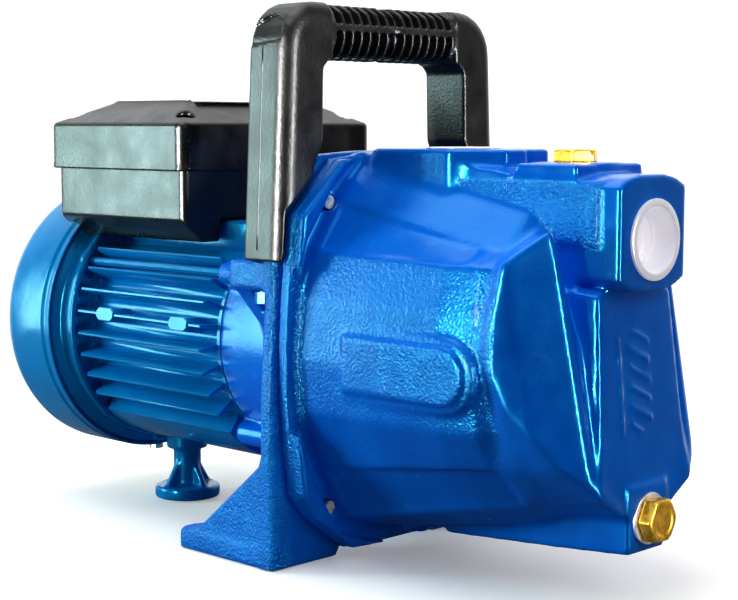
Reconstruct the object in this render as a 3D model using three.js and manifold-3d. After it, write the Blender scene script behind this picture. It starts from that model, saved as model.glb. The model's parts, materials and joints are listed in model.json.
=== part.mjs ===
// Self-priming shallow well jet pump: close-coupled motor, cast bracket, casing with an ejector inside.
// Millimetres. Shaft frame: X along the shaft with 0 at the suction face and the motor behind it (-X),
// Y across, Z up with 0 at the shaft axis. The exported group puts the origin on the floor, mid-length.
import * as THREE from "three";
import { mergeVertices } from "three/addons/utils/BufferGeometryUtils.js";
import { ConvexGeometry } from "three/addons/geometries/ConvexGeometry.js";
import Module from "manifold-3d";

const wasm = await Module();
wasm.setup();

// ---------------------------------------------------------------- driving dimensions
const ROUND = 26; // sides of a large round
const BORE = 14; // sides of a bore or shaft
const PIN = 8; // sides of a screw or small hole
const GAP = 0.3; // left between pieces that touch on the real pump
const SHAFT_HEIGHT = 106; // shaft axis above the floor
const FLOOR = -SHAFT_HEIGHT;

const JOINT_X = -164; // face between bracket and casing
const CASING_FLANGE = 13.5;
const BRACKET_FLANGE = 8.5;
const FLANGE_BOLT_Y = 50.5;
const FLANGE_BOLT_TOP = 75;
const FLANGE_BOLT_LOW = -77;
const GASKET_GROOVE = [65.6, 68.8]; // inner and outer radius
const CASING_RING_X = JOINT_X + 8; // where the oval barrel leaves the flange
const BRACKET_BACK_X = JOINT_X - BRACKET_FLANGE;

const PORT_Z = 61.6; // suction port axis
const PORT_BORE = 16.65; // G1 core radius
const PORT_HALF = 25.5; // half-width of the port block
const PORT_TOP = 91;
const PORT_LOW = 38;
const PORT_DEPTH = 24;
const PLATE_LOW_Z = -52; // lower edge of the front plate, its widest line
const PLATE_TOP_Z = 37;
const PLATE_LOW_X = -1.7;
const PLATE_TOP_X = -9.6;
const PLATE_LOW_HALF = 35;
const PLATE_TOP_HALF = 28;

const DISCHARGE_X = -112; // discharge port axis
const DISCHARGE_TOP = 101;
const PRIMING_X = -44; // priming plug axis
const PRIMING_TOP = 93.4;
const DRAIN_Z = -65;
const DRAIN_FACE_X = -0.6;
const PLUG_AF = 19; // hexagon across flats
const PLUG_HEAD = 6;
const PLUG_THREAD = 8.2; // thread radius of both brass plugs
const PLUG_BORE = PLUG_THREAD + GAP;
const WASHER_R = 12;
const DRAIN_WASHER = 1.5; // thickness
const PRIMING_WASHER = 1.2;
const CAP_LIP_R = 18.5;

const MOTOR_FRONT_X = -228;
const MOTOR_REAR_X = -342;
const FRAME_BORE = 53.3; // motor frame inner radius
const FRAME_WALL = 57.5;
const FIN_TIP = 70;
const FIN_PITCH = 10.4; // degrees
const FIN_FIRST = 38.4; // uppermost fin, degrees above the horizontal
const FIN_COUNT = 8;
const BASE_FLAT_Z = -66.5; // flat underside of the motor frame
const BOX_LOW_Z = 50.6; // lower edge of the terminal box beside the frame

const COVER_RADIUS = 78.8;
const COVER_REAR_X = -398.3;
const COVER_RIM_X = -352.4;
const SHEET = 1.6;

const LID_REAR_X = -360.7;
const LID_FRONT_X = -243.1;
const LID_HALF = 70.6;
const LID_LOW_Z = 88.3;
const LID_SIDE_Z = 112.6;
const LID_TOP_Z = 123;
const BOX_INSET = 3.4;
const BOX_SIDE_Z = 62.7;

const GRIP_LOW_Z = 144;
const GRIP_TOP_Z = 172;
const HANDLE_FRONT_X = -157;
const HANDLE_REAR_X = -187;
const LEG_LOW_Z = 46.5;

const SHAFT_R = 7.5;
const SHAFT_FRONT_X = -138;
const SHAFT_REAR_X = -386;
const CORE_FRONT_X = -242;
const CORE_REAR_X = -312;
const ROTOR_R = 29;
const STATOR_BORE = 29.6;
const BEARING_R = 17.5;
const BEARING_WIDTH = 11;
const FRONT_BEARING_X = -214;
const REAR_BEARING_X = -346;
const IMPELLER_R = 50;
const IMPELLER_X = -160;

const FOOT_X = -327;
const FRONT_LIMIT_X = 8.5; // front face of the drain plug's head

// ---------------------------------------------------------------- colours and finishes
const finish = (color, roughness, metalness) => new THREE.MeshStandardMaterial(
  { color, roughness, metalness },
);
const BLUE_CAST = finish(0x0a6fd6, 0.35, 0.1);
const BLUE_GLOSS = finish(0x0a86d8, 0.22, 0.1);
const BLACK_PLASTIC = finish(0x17191b, 0.5, 0);
const WHITE_PLASTIC = finish(0xdadce6, 0.4, 0);
const BRASS = finish(0xc99a2e, 0.25, 1);
const STEEL = finish(0xa9adb2, 0.3, 1);
const ZINC = finish(0x8f9499, 0.35, 1);
const LAMINATION = finish(0x6f7072, 0.5, 1);
const COPPER = finish(0xa8551f, 0.4, 0.9);
const RUBBER = finish(0x111111, 0.8, 0);
const CARBON = finish(0x26282b, 0.45, 0);
const NORYL = finish(0x2b2c2f, 0.5, 0);
const ALUMINIUM = finish(0xb9bcc0, 0.45, 0.9);

// ---------------------------------------------------------------- geometry helpers
// A closed solid: merged vertices, no collapsed triangles, faces turned outward.
function solid(source) {
  const bare = source.clone();
  bare.deleteAttribute("normal");
  bare.deleteAttribute("uv");
  const merged = mergeVertices(bare, 1e-4);
  const points = merged.getAttribute("position").array;
  const corners = merged.getIndex().array;
  const kept = [];
  let volume = 0;
  for (let i = 0; i < corners.length; i += 3) {
    const [a, b, c] = [corners[i], corners[i + 1], corners[i + 2]];
    if (a === b || b === c || c === a) continue;
    kept.push(a, b, c);
    const [p, q, r] = [a, b, c].map((n) => new THREE.Vector3().fromArray(points, 3 * n));
    volume += p.dot(q.cross(r));
  }
  if (volume < 0) kept.reverse();
  return new wasm.Manifold(
    new wasm.Mesh(
      { numProp: 3, vertProperties: Float32Array.from(points), triVerts: Uint32Array.from(kept) },
    ),
  );
}

const join = (...bodies) => bodies.flat().reduce((whole, next) => whole.add(next));
const cut = (body, ...tools) => tools.flat().reduce((whole, next) => whole.subtract(next), body);

// A ring or solid of revolution about a line parallel to X; the profile is a list of [x, radius].
function turned(profile, segments = ROUND, y = 0, z = 0) {
  const geometry = new THREE.LatheGeometry(profile.map(([x, r]) => new THREE.Vector2(r, x)), segments);
  geometry.rotateZ(-Math.PI / 2);
  geometry.translate(0, y, z);
  return solid(geometry);
}

// The same about a vertical line; the profile is a list of [z, radius].
function turnedUp(profile, x, y = 0, segments = BORE) {
  const geometry = new THREE.LatheGeometry(profile.map(([z, r]) => new THREE.Vector2(r, z)), segments);
  geometry.rotateX(Math.PI / 2);
  geometry.translate(x, y, 0);
  return solid(geometry);
}

const disc = (x0, x1, r, segments = ROUND, y = 0, z = 0) => turned(
  [[x0, 0], [x0, r], [x1, r], [x1, 0]],
  segments,
  y,
  z,
);
const ring = (x0, x1, inner, outer, segments = ROUND, y = 0, z = 0) =>
  turned([[x0, inner], [x0, outer], [x1, outer], [x1, inner], [x0, inner]], segments, y, z);
const post = (z0, z1, r, x, y = 0, segments = BORE) => turnedUp(
  [[z0, 0], [z0, r], [z1, r], [z1, 0]],
  x,
  y,
  segments,
);

// Prisms: an outline swept along one axis. The outline's two values run along the other two axes in order.
function prism(outline, from, to, basis) {
  const shape = new THREE.Shape(outline.map(([u, v]) => new THREE.Vector2(u, v)));
  const geometry = new THREE.ExtrudeGeometry(shape, { depth: to - from, bevelEnabled: false });
  geometry.translate(0, 0, from);
  geometry.applyMatrix4(basis);
  return solid(geometry);
}

const X = new THREE.Vector3(1, 0, 0);
const Y = new THREE.Vector3(0, 1, 0);
const Z = new THREE.Vector3(0, 0, 1);
const ALONG_X = new THREE.Matrix4().makeBasis(Y, Z, X);
const ALONG_Y = new THREE.Matrix4().makeBasis(X, Z, Y.clone().negate());
const ALONG_Z = new THREE.Matrix4();
const prismX = (outlineYZ, x0, x1) => prism(outlineYZ, x0, x1, ALONG_X);
const prismY = (outlineXZ, y0, y1) => prism(outlineXZ, -y1, -y0, ALONG_Y);
const prismZ = (outlineXY, z0, z1) => prism(outlineXY, z0, z1, ALONG_Z);

function block(x0, x1, y0, y1, z0, z1) {
  const geometry = new THREE.BoxGeometry(x1 - x0, y1 - y0, z1 - z0);
  geometry.translate((x0 + x1) / 2, (y0 + y1) / 2, (z0 + z1) / 2);
  return solid(geometry);
}

// A bar that runs outward from the shaft line at an angle above +Y.
function spoke(angle, r0, r1, width, x0, x1) {
  const geometry = new THREE.BoxGeometry(x1 - x0, r1 - r0, width);
  geometry.translate((x0 + x1) / 2, (r0 + r1) / 2, 0);
  geometry.rotateX(THREE.MathUtils.degToRad(angle));
  return solid(geometry);
}

const hull = (points) => solid(new ConvexGeometry(points.map((p) => new THREE.Vector3(...p))));
const mirrored = (points) => [...points, ...points.map(([y, z]) => [-y, z]).reverse()];
const flip = (points) => points.map(([x, y, z]) => [x, -y, z]);
const radians = THREE.MathUtils.degToRad;

// A hexagon head or nut round a line parallel to X, or a vertical one.
const hexagon = (acrossFlats, turn = 0) =>
  [0, 1, 2, 3, 4, 5].map((i) => {
    const angle = radians(60 * i) + turn;
    return [(acrossFlats / Math.sqrt(3)) * Math.cos(angle), (acrossFlats / Math.sqrt(3)) * Math.sin(angle)];
  });
const hexX = (x0, x1, acrossFlats, y, z) =>
  prismX(hexagon(acrossFlats).map(([u, v]) => [u + y, v + z]), x0, x1);
const hexZ = (z0, z1, acrossFlats, x, y) =>
  prismZ(hexagon(acrossFlats, Math.PI / 6).map(([u, v]) => [u + x, v + y]), z0, z1);

// ---------------------------------------------------------------- the assembly
const pump = new THREE.Group();
pump.position.set(-(COVER_REAR_X + FRONT_LIMIT_X) / 2, 0, SHAFT_HEIGHT);

function add(name, body, material) {
  const { numProp, vertProperties, triVerts } = body.getMesh();
  const positions = new Float32Array((vertProperties.length / numProp) * 3);
  for (let i = 0; i < positions.length / 3; i += 1) {
    positions.set(vertProperties.slice(i * numProp, i * numProp + 3), 3 * i);
  }
  const geometry = new THREE.BufferGeometry();
  geometry.setAttribute("position", new THREE.BufferAttribute(positions, 3));
  geometry.setIndex(new THREE.BufferAttribute(Uint32Array.from(triVerts), 1));
  geometry.computeVertexNormals();
  const mesh = new THREE.Mesh(geometry, material);
  mesh.name = name;
  pump.add(mesh);
}

// ---------------------------------------------------------------- flange outlines, half of each, [y, z]
const CASING_OUTLINE = mirrored([
  [20, 98], [44, 95.5], [72, 69], [76, 30], [77.4, 5], [77, -20], [75, -45], [72, -68], [63, -80],
  [38, -99.5], [16, -101],
]);
const BRACKET_HALF = [
  [20, 99.5], [46, 98], [74.5, 71], [77.2, 38], [80.2, 5], [81.7, -20], [82, -45], [81.2, -66],
];
const FOOT_OUTER = 80.6;
const FOOT_INNER = 37;
const FOOT_FRONT_X = -166;
const FOOT_REAR_X = -234.5;
const FOOT_BOLT_X = -222;
const FOOT_BOLT_Y = 62;
const SOLE = 9;
const BRACKET_OUTLINE = mirrored([
  ...BRACKET_HALF, [FOOT_OUTER, FLOOR], [FOOT_INNER, FLOOR], [30, -97], [16, -97],
]);

// ---------------------------------------------------------------- pump casing
// The barrel is an oval that shrinks towards the front: [x, half-width, half-height, centre height].
const BARREL = [[CASING_RING_X, 72.5, 90, -2], [-112, 72, 84, -2], [-68, 70.5, 78, -2], [-44, 66, 73, -2]];
const SHOULDER_EDGE = [
  [-36, -62, 53], [-42, -66.5, 23], [-40, -67, 6], [-34, -64, -11], [-21, -59, -24], [-4, -41, -44],
];
const SHOULDER_NOSE = [[-24, -43, 67], [-20, -43, 45], [-17, -42, 14], [-11, -42, -16], [-4.5, -41, -35]];
const SHOULDER_ROOT = [
  [-46, -20, 70], [-32, -24, 30], [-28, -24, -40], [-46, -52, 50], [-46, -50, -52], [-46, -30, -66],
];

function oval([x, halfWidth, halfHeight, centre]) {
  return Array.from({ length: 24 }, (_, i) => {
    const angle = (i * Math.PI) / 12;
    return [x, halfWidth * Math.cos(angle), centre + halfHeight * Math.sin(angle)];
  });
}

const PLATE_FACE = [
  [PLATE_LOW_X, PLATE_LOW_HALF, PLATE_LOW_Z], [PLATE_LOW_X, -PLATE_LOW_HALF, PLATE_LOW_Z],
  [PLATE_TOP_X, PLATE_TOP_HALF, PLATE_TOP_Z], [PLATE_TOP_X, -PLATE_TOP_HALF, PLATE_TOP_Z],
  [PLATE_LOW_X + 0.8, 18, -62], [PLATE_LOW_X + 0.8, -18, -62],
];
const PLATE_BACK = [[-46, 30, 60], [-46, -30, 60], [-46, 30, -60], [-46, -30, -60]];
const PORT_FACE = mirrored([
  [14, PORT_TOP], [PORT_HALF, PORT_TOP - 7], [PORT_HALF, PORT_LOW + 5], [14, PORT_LOW],
]);

const casingOuter = join(
  prismX(CASING_OUTLINE, JOINT_X + GAP, JOINT_X + CASING_FLANGE),
  BARREL.slice(1).map((section, i) => hull([...oval(BARREL[i]), ...oval(section)])),
  hull([...oval(BARREL[3]), ...SHOULDER_ROOT, ...flip(SHOULDER_ROOT)]),
  hull([...SHOULDER_EDGE, ...SHOULDER_NOSE, ...SHOULDER_ROOT]),
  hull(flip([...SHOULDER_EDGE, ...SHOULDER_NOSE, ...SHOULDER_ROOT])),
  hull([...PLATE_FACE, ...PLATE_BACK]),
  prismX(PORT_FACE, -PORT_DEPTH, 0),
  block(JOINT_X + 2, -10, -PORT_HALF, PORT_HALF, 55, 88),
  prismZ(
    [[-150, -24], [-144, -30], [-96, -30], [-72, -16], [-72, 16], [-96, 30], [-144, 30], [-150, 24]],
    60,
    DISCHARGE_TOP,
  ),
  post(70, PRIMING_TOP, 18, PRIMING_X),
  block(-46, DRAIN_FACE_X, -14.5, 14.5, -78, -50),
);
const FLANGE_BOLTS = [1, -1].flatMap(
  (side) => [FLANGE_BOLT_TOP, FLANGE_BOLT_LOW].map((z) => [side * FLANGE_BOLT_Y, z]),
);
// The chamber inside follows the barrel, one wall thickness smaller.
const CHAMBER = [
  [-148, 64, 76, -2], [-112, 63.5, 74, -2], [-68, 61.5, 68, -2], [-52, 54, 60, -2], [-42, 38, 42, -2],
];
const casingCavity = join(
  FLANGE_BOLTS.map(([y, z]) => disc(JOINT_X - 1, JOINT_X + 11, 4, PIN, y, z)),
  ring(JOINT_X - 1, JOINT_X + 2.6, ...GASKET_GROOVE),
  disc(JOINT_X - 1, -146, 64),
  CHAMBER.slice(1).map((section, i) => hull([...oval(CHAMBER[i]), ...oval(section)])),
  block(-30, -12, -13, 13, -14, PORT_Z),
  disc(-30, 1, PORT_BORE, BORE, 0, PORT_Z),
  disc(-44, -24, 10.4, BORE),
  post(40, DISCHARGE_TOP + 1, PORT_BORE, DISCHARGE_X),
  post(40, PRIMING_TOP + 1, PLUG_BORE, PRIMING_X, 0, BORE),
  disc(-60, 1, PLUG_BORE, BORE, 0, DRAIN_Z),
);
add("pump_casing", cut(casingOuter, casingCavity), BLUE_CAST);

// ---------------------------------------------------------------- plugs and port caps
const drainSeat = DRAIN_FACE_X + GAP;
const drainHead = drainSeat + DRAIN_WASHER + GAP;
add(
  "drain_plug_washer",
  ring(drainSeat, drainSeat + DRAIN_WASHER, PLUG_BORE, WASHER_R, BORE, 0, DRAIN_Z),
  ALUMINIUM,
);
add(
  "drain_plug",
  join(
    hexX(drainHead, FRONT_LIMIT_X, PLUG_AF, 0, DRAIN_Z),
    disc(-12, drainHead + 1, PLUG_THREAD, BORE, 0, DRAIN_Z),
  ),
  BRASS,
);
const primingSeat = PRIMING_TOP + GAP;
const primingHead = primingSeat + PRIMING_WASHER + GAP;
const primingCrown = primingHead + PLUG_HEAD;
const primingSlot = block(PRIMING_X - 13, PRIMING_X + 13, -1, 1, primingCrown - 2, primingCrown + 1);
add(
  "priming_plug_washer",
  turnedUp(
    [
      [primingSeat, PLUG_BORE], [primingSeat, WASHER_R], [primingSeat + PRIMING_WASHER, WASHER_R],
      [primingSeat + PRIMING_WASHER, PLUG_BORE], [primingSeat, PLUG_BORE],
    ],
    PRIMING_X,
    0,
    BORE,
  ),
  ALUMINIUM,
);
add(
  "priming_plug",
  cut(
    join(
      hexZ(primingHead, primingCrown, PLUG_AF, PRIMING_X, 0),
      post(primingHead - 13, primingHead + 1, PLUG_THREAD, PRIMING_X, 0, BORE),
    ),
    primingSlot,
  ),
  BRASS,
);

// Moulded transport caps: a lipped cup pushed into each threaded port.
const capSection = (face) => [
  [face - 13, 0], [face - 13, 11.2], [face - 9, 11.6], [face - 9, 14.4], [face + 2, 15],
  [face + 2, CAP_LIP_R], [face + GAP, CAP_LIP_R], [face + GAP, 16.1], [face - 10.6, 16.1],
  [face - 10.6, 13], [face - 14.6, 12.8], [face - 14.6, 0],
];
add("suction_port_cap", turned(capSection(0), BORE, 0, PORT_Z), WHITE_PLASTIC);
add("discharge_port_cap", turnedUp(capSection(DISCHARGE_TOP), DISCHARGE_X), WHITE_PLASTIC);

// ---------------------------------------------------------------- hydraulics inside the casing
add(
  "ejector_nozzle",
  turned(
    [
      [-44, 3.4], [-44, 6], [-37, 9.8], [-24, 9.8], [-24, 11.6], [-20, 11.6], [-20, 7.5], [-36, 6.5],
      [-44, 3.4],
    ],
    BORE,
  ),
  BRASS,
);
add(
  "venturi_tube",
  turned(
    [
      [-62, 8], [-62, 17], [-66, 17], [-70, 11], [-112, 13], [-136, 17.5], [-136, 14.5], [-112, 9.5],
      [-74, 6], [-62, 8],
    ],
    32,
  ),
  NORYL,
);
const guideVanes = Array.from({ length: 5 }, (_, i) => spoke(72 * i, 26, 56, 2.5, -151, -144));
add(
  "diffuser",
  join(
    turned([
      [-137, 18.2],
      [-137, 21.5],
      [-149, 24],
      [-149, 60],
      [-157, 62.4],
      [-162, 62.4],
      [-162, 58],
      [-159, 51.5],
      [-151.5, 51.5],
      [-151.5, 18.2],
      [-137, 18.2],
    ]),
    ...guideVanes,
  ),
  NORYL,
);
const impellerVane = (i) => {
  const vane = new THREE.BoxGeometry(4.4, 3, 26);
  vane.translate(0, 0, 13);
  vane.rotateX(radians(50));
  vane.translate(-157, 0, 22);
  vane.rotateX(radians(60 * i));
  return solid(vane);
};
add(
  "impeller",
  join(
    ring(IMPELLER_X - 1.2, IMPELLER_X + 0.8, 7, IMPELLER_R, BORE),
    turned(
      [
        [-155.2, 12], [-155.2, IMPELLER_R], [-153.6, IMPELLER_R], [-152.8, 17.2], [-146, 17.2],
        [-146, 13.5], [-152.8, 12], [-155.2, 12],
      ],
      BORE,
    ),
    ring(IMPELLER_X - 3.6, -150, 7, 12, BORE),
    [0, 1, 2, 3, 4, 5].map(impellerVane),
  ),
  BRASS,
);
add(
  "impeller_nut",
  join(cut(hexX(-149.6, -143, 13, 0, 0), disc(-152, -138, 6.3, BORE)), ring(-144, -142.5, 6.3, 7, BORE)),
  STEEL,
);
add("seal_rotating", ring(-176, -164.2, 8.1, 14, BORE), RUBBER);
add("seal_stationary", ring(-185, -176.3, 8.4, 15, BORE), CARBON);
add(
  "casing_gasket",
  ring(JOINT_X - 1.2, JOINT_X + 2.2, GASKET_GROOVE[0] + 0.4, GASKET_GROOVE[1] - 0.4),
  RUBBER,
);

// ---------------------------------------------------------------- motor bracket
// A flange, the open lantern behind it, the bearing hub, two handle lugs and two feet.
const LUG_TOP_Z = LEG_LOW_Z - GAP;
const LUG_SECTION = [[48, 14], [62, 28], [77, 32], [77, LUG_TOP_Z], [48, LUG_TOP_Z]];
const onSide = (outline, side) => outline.map(([y, z]) => [side * y, z]);
const lugs = [1, -1].map((side) => prismX(onSide(LUG_SECTION, side), -200, BRACKET_BACK_X + 1));
const FOOT_SIDE_SECTION = [
  [FOOT_FRONT_X, FLOOR], [FOOT_REAR_X, FLOOR], [FOOT_REAR_X, -95], [-219, -91], [-172, -52],
  [FOOT_FRONT_X, -52],
];
const between = (inner, outer, side) => (side > 0 ? [inner, outer] : [-outer, -inner]);
const footSide = (side) => prismY(FOOT_SIDE_SECTION, ...between(72, FOOT_OUTER, side));
const footSole = (side) =>
  block(FOOT_REAR_X, FOOT_FRONT_X, ...between(FOOT_INNER, FOOT_OUTER, side), FLOOR, FLOOR + SOLE);
const bracketOuter = join(
  prismX(BRACKET_OUTLINE, BRACKET_BACK_X, JOINT_X - 0.1),
  turned([
    [-170, 0], [-170, 66], [-186, 62], [-208, 61], [MOTOR_FRONT_X + GAP, 59], [MOTOR_FRONT_X + GAP, 0],
  ]),
  disc(MOTOR_FRONT_X - 6, MOTOR_FRONT_X + 2, FRAME_BORE - GAP - 0.2),
  lugs,
  [1, -1].map(footSide),
  [1, -1].map(footSole),
);
const bracketCuts = [
  ring(-178, JOINT_X + 1, 26, 54), // shallow chamber behind the diffuser
  disc(JOINT_X - 12.2, JOINT_X + 1, 30),
  ring(JOINT_X - 1.6, JOINT_X + 1, ...GASKET_GROOVE),
  disc(-187, -170, 15.3, BORE), // seal seat
  disc(-222, -160, 9, BORE),
  disc(-201, -186, 56), // open lantern between the two webs
  disc(
    FRONT_BEARING_X - BEARING_WIDTH / 2 - GAP,
    FRONT_BEARING_X + BEARING_WIDTH / 2 + GAP,
    BEARING_R + GAP,
    BORE,
  ),
  disc(-240, FRONT_BEARING_X, BEARING_R + GAP, BORE),
  ring(-240, -212, 24, 50),
];
const lanternWindows = [-90, 90].map((angle) => spoke(angle, 40, 80, 36, -200, -186));
const footBolts = [1, -1].map((side) =>
  post(FLOOR - 1, FLOOR + 20, 5, FOOT_BOLT_X, side * FOOT_BOLT_Y, BORE));
const polar = (r, angle) => [r * Math.cos(radians(angle)), r * Math.sin(radians(angle))];
const TIE_ANGLES = [33, 147, -49, -131];
const TIE_RADIUS = 65.5;
const TIE_BOLTS = TIE_ANGLES.map((angle) => polar(TIE_RADIUS, angle)); // [y, z]
const tieBosses = TIE_BOLTS.map(([y, z]) => disc(MOTOR_FRONT_X + GAP, -205, 6.5, PIN, y, z));
const tieHoles = TIE_BOLTS.map(([y, z]) => disc(MOTOR_FRONT_X - 10, -211, 2.8, PIN, y, z));
const HANDLE_SCREW_X = -180;
const HANDLE_SCREW_Y = 70.5;
const lugHoles = [HANDLE_SCREW_Y, -HANDLE_SCREW_Y].map((y) =>
  join(post(20, LEG_LOW_Z + 1, 3.2, HANDLE_SCREW_X, y, PIN), post(20, 31, 6, HANDLE_SCREW_X, y, PIN)));
const flangeHoles = FLANGE_BOLTS.map(([y, z]) => disc(-180, JOINT_X + 1, 4.5, PIN, y, z));
add(
  "motor_bracket",
  cut(
    join(bracketOuter, tieBosses),
    bracketCuts,
    lanternWindows,
    footBolts,
    tieHoles,
    flangeHoles,
    lugHoles,
  ),
  BLUE_CAST,
);

const boltX = (y, z, headFrom, headTo, tip, af, r) => join(
  hexX(headFrom, headTo, af, y, z),
  disc(headTo - 0.5, tip, r, PIN, y, z),
);
FLANGE_BOLTS.forEach(([y, z], i) => {
  add(
    `casing_bolt_${i + 1}`,
    boltX(y, z, BRACKET_BACK_X - GAP - 5.3, BRACKET_BACK_X - GAP, JOINT_X + 9, 13, 3.6),
    ZINC,
  );
});

// ---------------------------------------------------------------- rotor
const SHAFT_END_R = 5.8; // under the fan at the rear and the nut's thread at the front
const IMPELLER_SEAT_R = 6.3;
const ROTOR_SEAT_R = 9.5;
const shaftProfile = [
  [SHAFT_REAR_X, 0], [SHAFT_REAR_X, SHAFT_END_R], [-364, SHAFT_END_R], [-364, 7.2],
  [REAR_BEARING_X + 8, 7.2], [REAR_BEARING_X + 8, ROTOR_SEAT_R],
  [FRONT_BEARING_X - 7, ROTOR_SEAT_R], [FRONT_BEARING_X - 7, SHAFT_R],
  [-165.5, SHAFT_R], [-165.5, IMPELLER_SEAT_R], [-150, IMPELLER_SEAT_R], [-150, SHAFT_END_R],
  [SHAFT_FRONT_X, SHAFT_END_R], [SHAFT_FRONT_X, 0],
];
add("shaft", turned(shaftProfile, BORE), STEEL);
add("rotor_core", ring(CORE_REAR_X, CORE_FRONT_X, 9.9, ROTOR_R - 0.4, BORE), LAMINATION);
add(
  "water_slinger",
  turned([[-198, 7.9], [-198, 10], [-195, 14], [-193.4, 14], [-193.4, 7.9], [-198, 7.9]], BORE),
  RUBBER,
);
const bearing = (x) => ring(x - BEARING_WIDTH / 2, x + BEARING_WIDTH / 2, SHAFT_R + 0.4, BEARING_R, BORE);
add("front_bearing", bearing(FRONT_BEARING_X), STEEL);
add("rear_bearing", bearing(REAR_BEARING_X), STEEL);
const fanBlade = (i) => spoke((360 / 7) * i, 16, 60, 2.4, -382, -367);
add(
  "cooling_fan",
  join(
    ring(-382, -366, 6.1, 18, BORE),
    turned([[-368, 14], [-365.5, 61], [-363.5, 61], [-366, 14], [-368, 14]], BORE),
    [0, 1, 2, 3, 4, 5, 6].map(fanBlade),
  ),
  BLACK_PLASTIC,
);
add("fan_clip", ring(-383.8, -382.4, 6.1, 9, BORE), STEEL);

// ---------------------------------------------------------------- stator
add("stator_core", ring(CORE_REAR_X, CORE_FRONT_X, STATOR_BORE + 0.5, FRAME_BORE - 0.5), LAMINATION);
const winding = (x0, x1) =>
  turned(
    [
      [x0, 33], [x0, 46], [x0 + 3, 49], [x1 - 3, 49], [x1, 46], [x1, 33], [x1 - 3, 31], [x0 + 3, 31],
      [x0, 33],
    ],
    BORE,
  );
add("winding_front", winding(CORE_FRONT_X + GAP, CORE_FRONT_X + 14), COPPER);
add("winding_rear", winding(CORE_REAR_X - 16, CORE_REAR_X - GAP), COPPER);

// ---------------------------------------------------------------- motor frame
const finAngles = Array.from({ length: FIN_COUNT }, (_, i) => FIN_FIRST - FIN_PITCH * i);
const fin = (angle) => spoke(angle, FRAME_WALL - 3, FIN_TIP, 2.4, MOTOR_REAR_X + 4, MOTOR_FRONT_X - 3);
const belly = disc(MOTOR_REAR_X + 4, MOTOR_FRONT_X, FIN_TIP).intersect(
  prismX(mirrored([[46, -34], [58, -43], [62, BASE_FLAT_Z]]), MOTOR_REAR_X, MOTOR_FRONT_X + 1),
);
const PAD_PLACES = [-322, -268]; // moulded pads on one near-side fin
const frameBody = join(
  disc(MOTOR_REAR_X, MOTOR_FRONT_X, FRAME_WALL),
  [1, -1].flatMap((side) => finAngles.map((angle) => fin(side > 0 ? angle : 180 - angle))),
  PAD_PLACES.map((x) => spoke(180 - finAngles[3], FRAME_WALL - 2, FIN_TIP + 0.6, 7.4, x - 8, x + 8)),
  belly,
  block(-340, -252, -36, 36, 30, 61.4),
);
add(
  "motor_frame",
  cut(
    frameBody,
    disc(MOTOR_REAR_X - 1, MOTOR_FRONT_X + 1, FRAME_BORE),
    post(40, 70, 9, -296, 0, BORE),
    TIE_BOLTS.map(([y, z]) => disc(MOTOR_REAR_X - 1, MOTOR_FRONT_X + 1, 3.6, PIN, y, z)),
    disc(MOTOR_REAR_X - 1, MOTOR_REAR_X + 4, 60.4),
    post(-75, -55, 3.4, FOOT_X, 0, PIN),
  ),
  BLUE_GLOSS,
);

// ---------------------------------------------------------------- rear shield, fan cover and tie bolts
const SHIELD_REAR_X = -352;
const COVER_ARMS = [0, 90, -90]; // angles of the arms that carry the fan cover
const coverArm = (angle) => spoke(angle, 54, COVER_RADIUS - SHEET - 0.6, 11, -362, -350);
const radialHole = (angle, r, inner, outer) => {
  const hole = new THREE.CylinderGeometry(r, r, outer - inner, PIN);
  hole.translate(-356, (inner + outer) / 2, 0);
  hole.rotateX(radians(angle));
  return solid(hole);
};
add(
  "rear_shield",
  cut(
    join(
      turned([
        [-339, 18], [-339, 50], [-338.3, 50], [-338.3, 60], [-346, 60], [SHIELD_REAR_X, 58],
        [SHIELD_REAR_X, 50], [-346, 46], [-346, 24], [-355, 22], [-355, 9], [-353, 9], [-353, 18],
        [-339, 18],
      ]),
      TIE_BOLTS.map(([y, z]) => disc(SHIELD_REAR_X, MOTOR_REAR_X - GAP, 6.5, PIN, y, z)),
      TIE_ANGLES.map((angle) => spoke(angle, 52, 65, 11, SHIELD_REAR_X + 1, MOTOR_REAR_X - GAP - 1)),
      COVER_ARMS.map(coverArm),
    ),
    TIE_BOLTS.map(([y, z]) => disc(-360, -330, 3, PIN, y, z)),
    COVER_ARMS.map((angle) => radialHole(angle, 2.2, 64, 80)),
  ),
  ALUMINIUM,
);
add("wave_washer", ring(-352.7, -351.8, 11, 17, BORE), STEEL);
TIE_BOLTS.forEach(([y, z], i) => {
  add(`tie_bolt_${i + 1}`, boltX(y, z, SHIELD_REAR_X - GAP - 4, SHIELD_REAR_X - GAP, -212, 8, 2.4), ZINC);
});

const coverInner = COVER_RADIUS - SHEET;
const coverShell = turned(
  [
    [COVER_REAR_X, 0], [COVER_REAR_X, 66], [COVER_REAR_X + 2.6, 73.5],
    [COVER_REAR_X + 9, COVER_RADIUS], [COVER_RIM_X, COVER_RADIUS], [COVER_RIM_X, coverInner],
    [COVER_REAR_X + 9.6, coverInner], [COVER_REAR_X + 4, 72.6], [COVER_REAR_X + SHEET, 65.6],
    [COVER_REAR_X + SHEET, 0],
  ],
  40,
);
const grilleSlot = (count, inner, outer) => (_, i) =>
  spoke((360 * i) / count, inner, outer, 3.4, COVER_REAR_X - 3, COVER_REAR_X + 3);
const grille = [
  ...Array.from({ length: 8 }, grilleSlot(8, 18, 38)),
  ...Array.from({ length: 16 }, grilleSlot(16, 42, 62)),
];
add(
  "fan_cover",
  cut(coverShell, grille, COVER_ARMS.map((angle) => radialHole(angle, 2.4, 70, 84))),
  BLUE_GLOSS,
);
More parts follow.
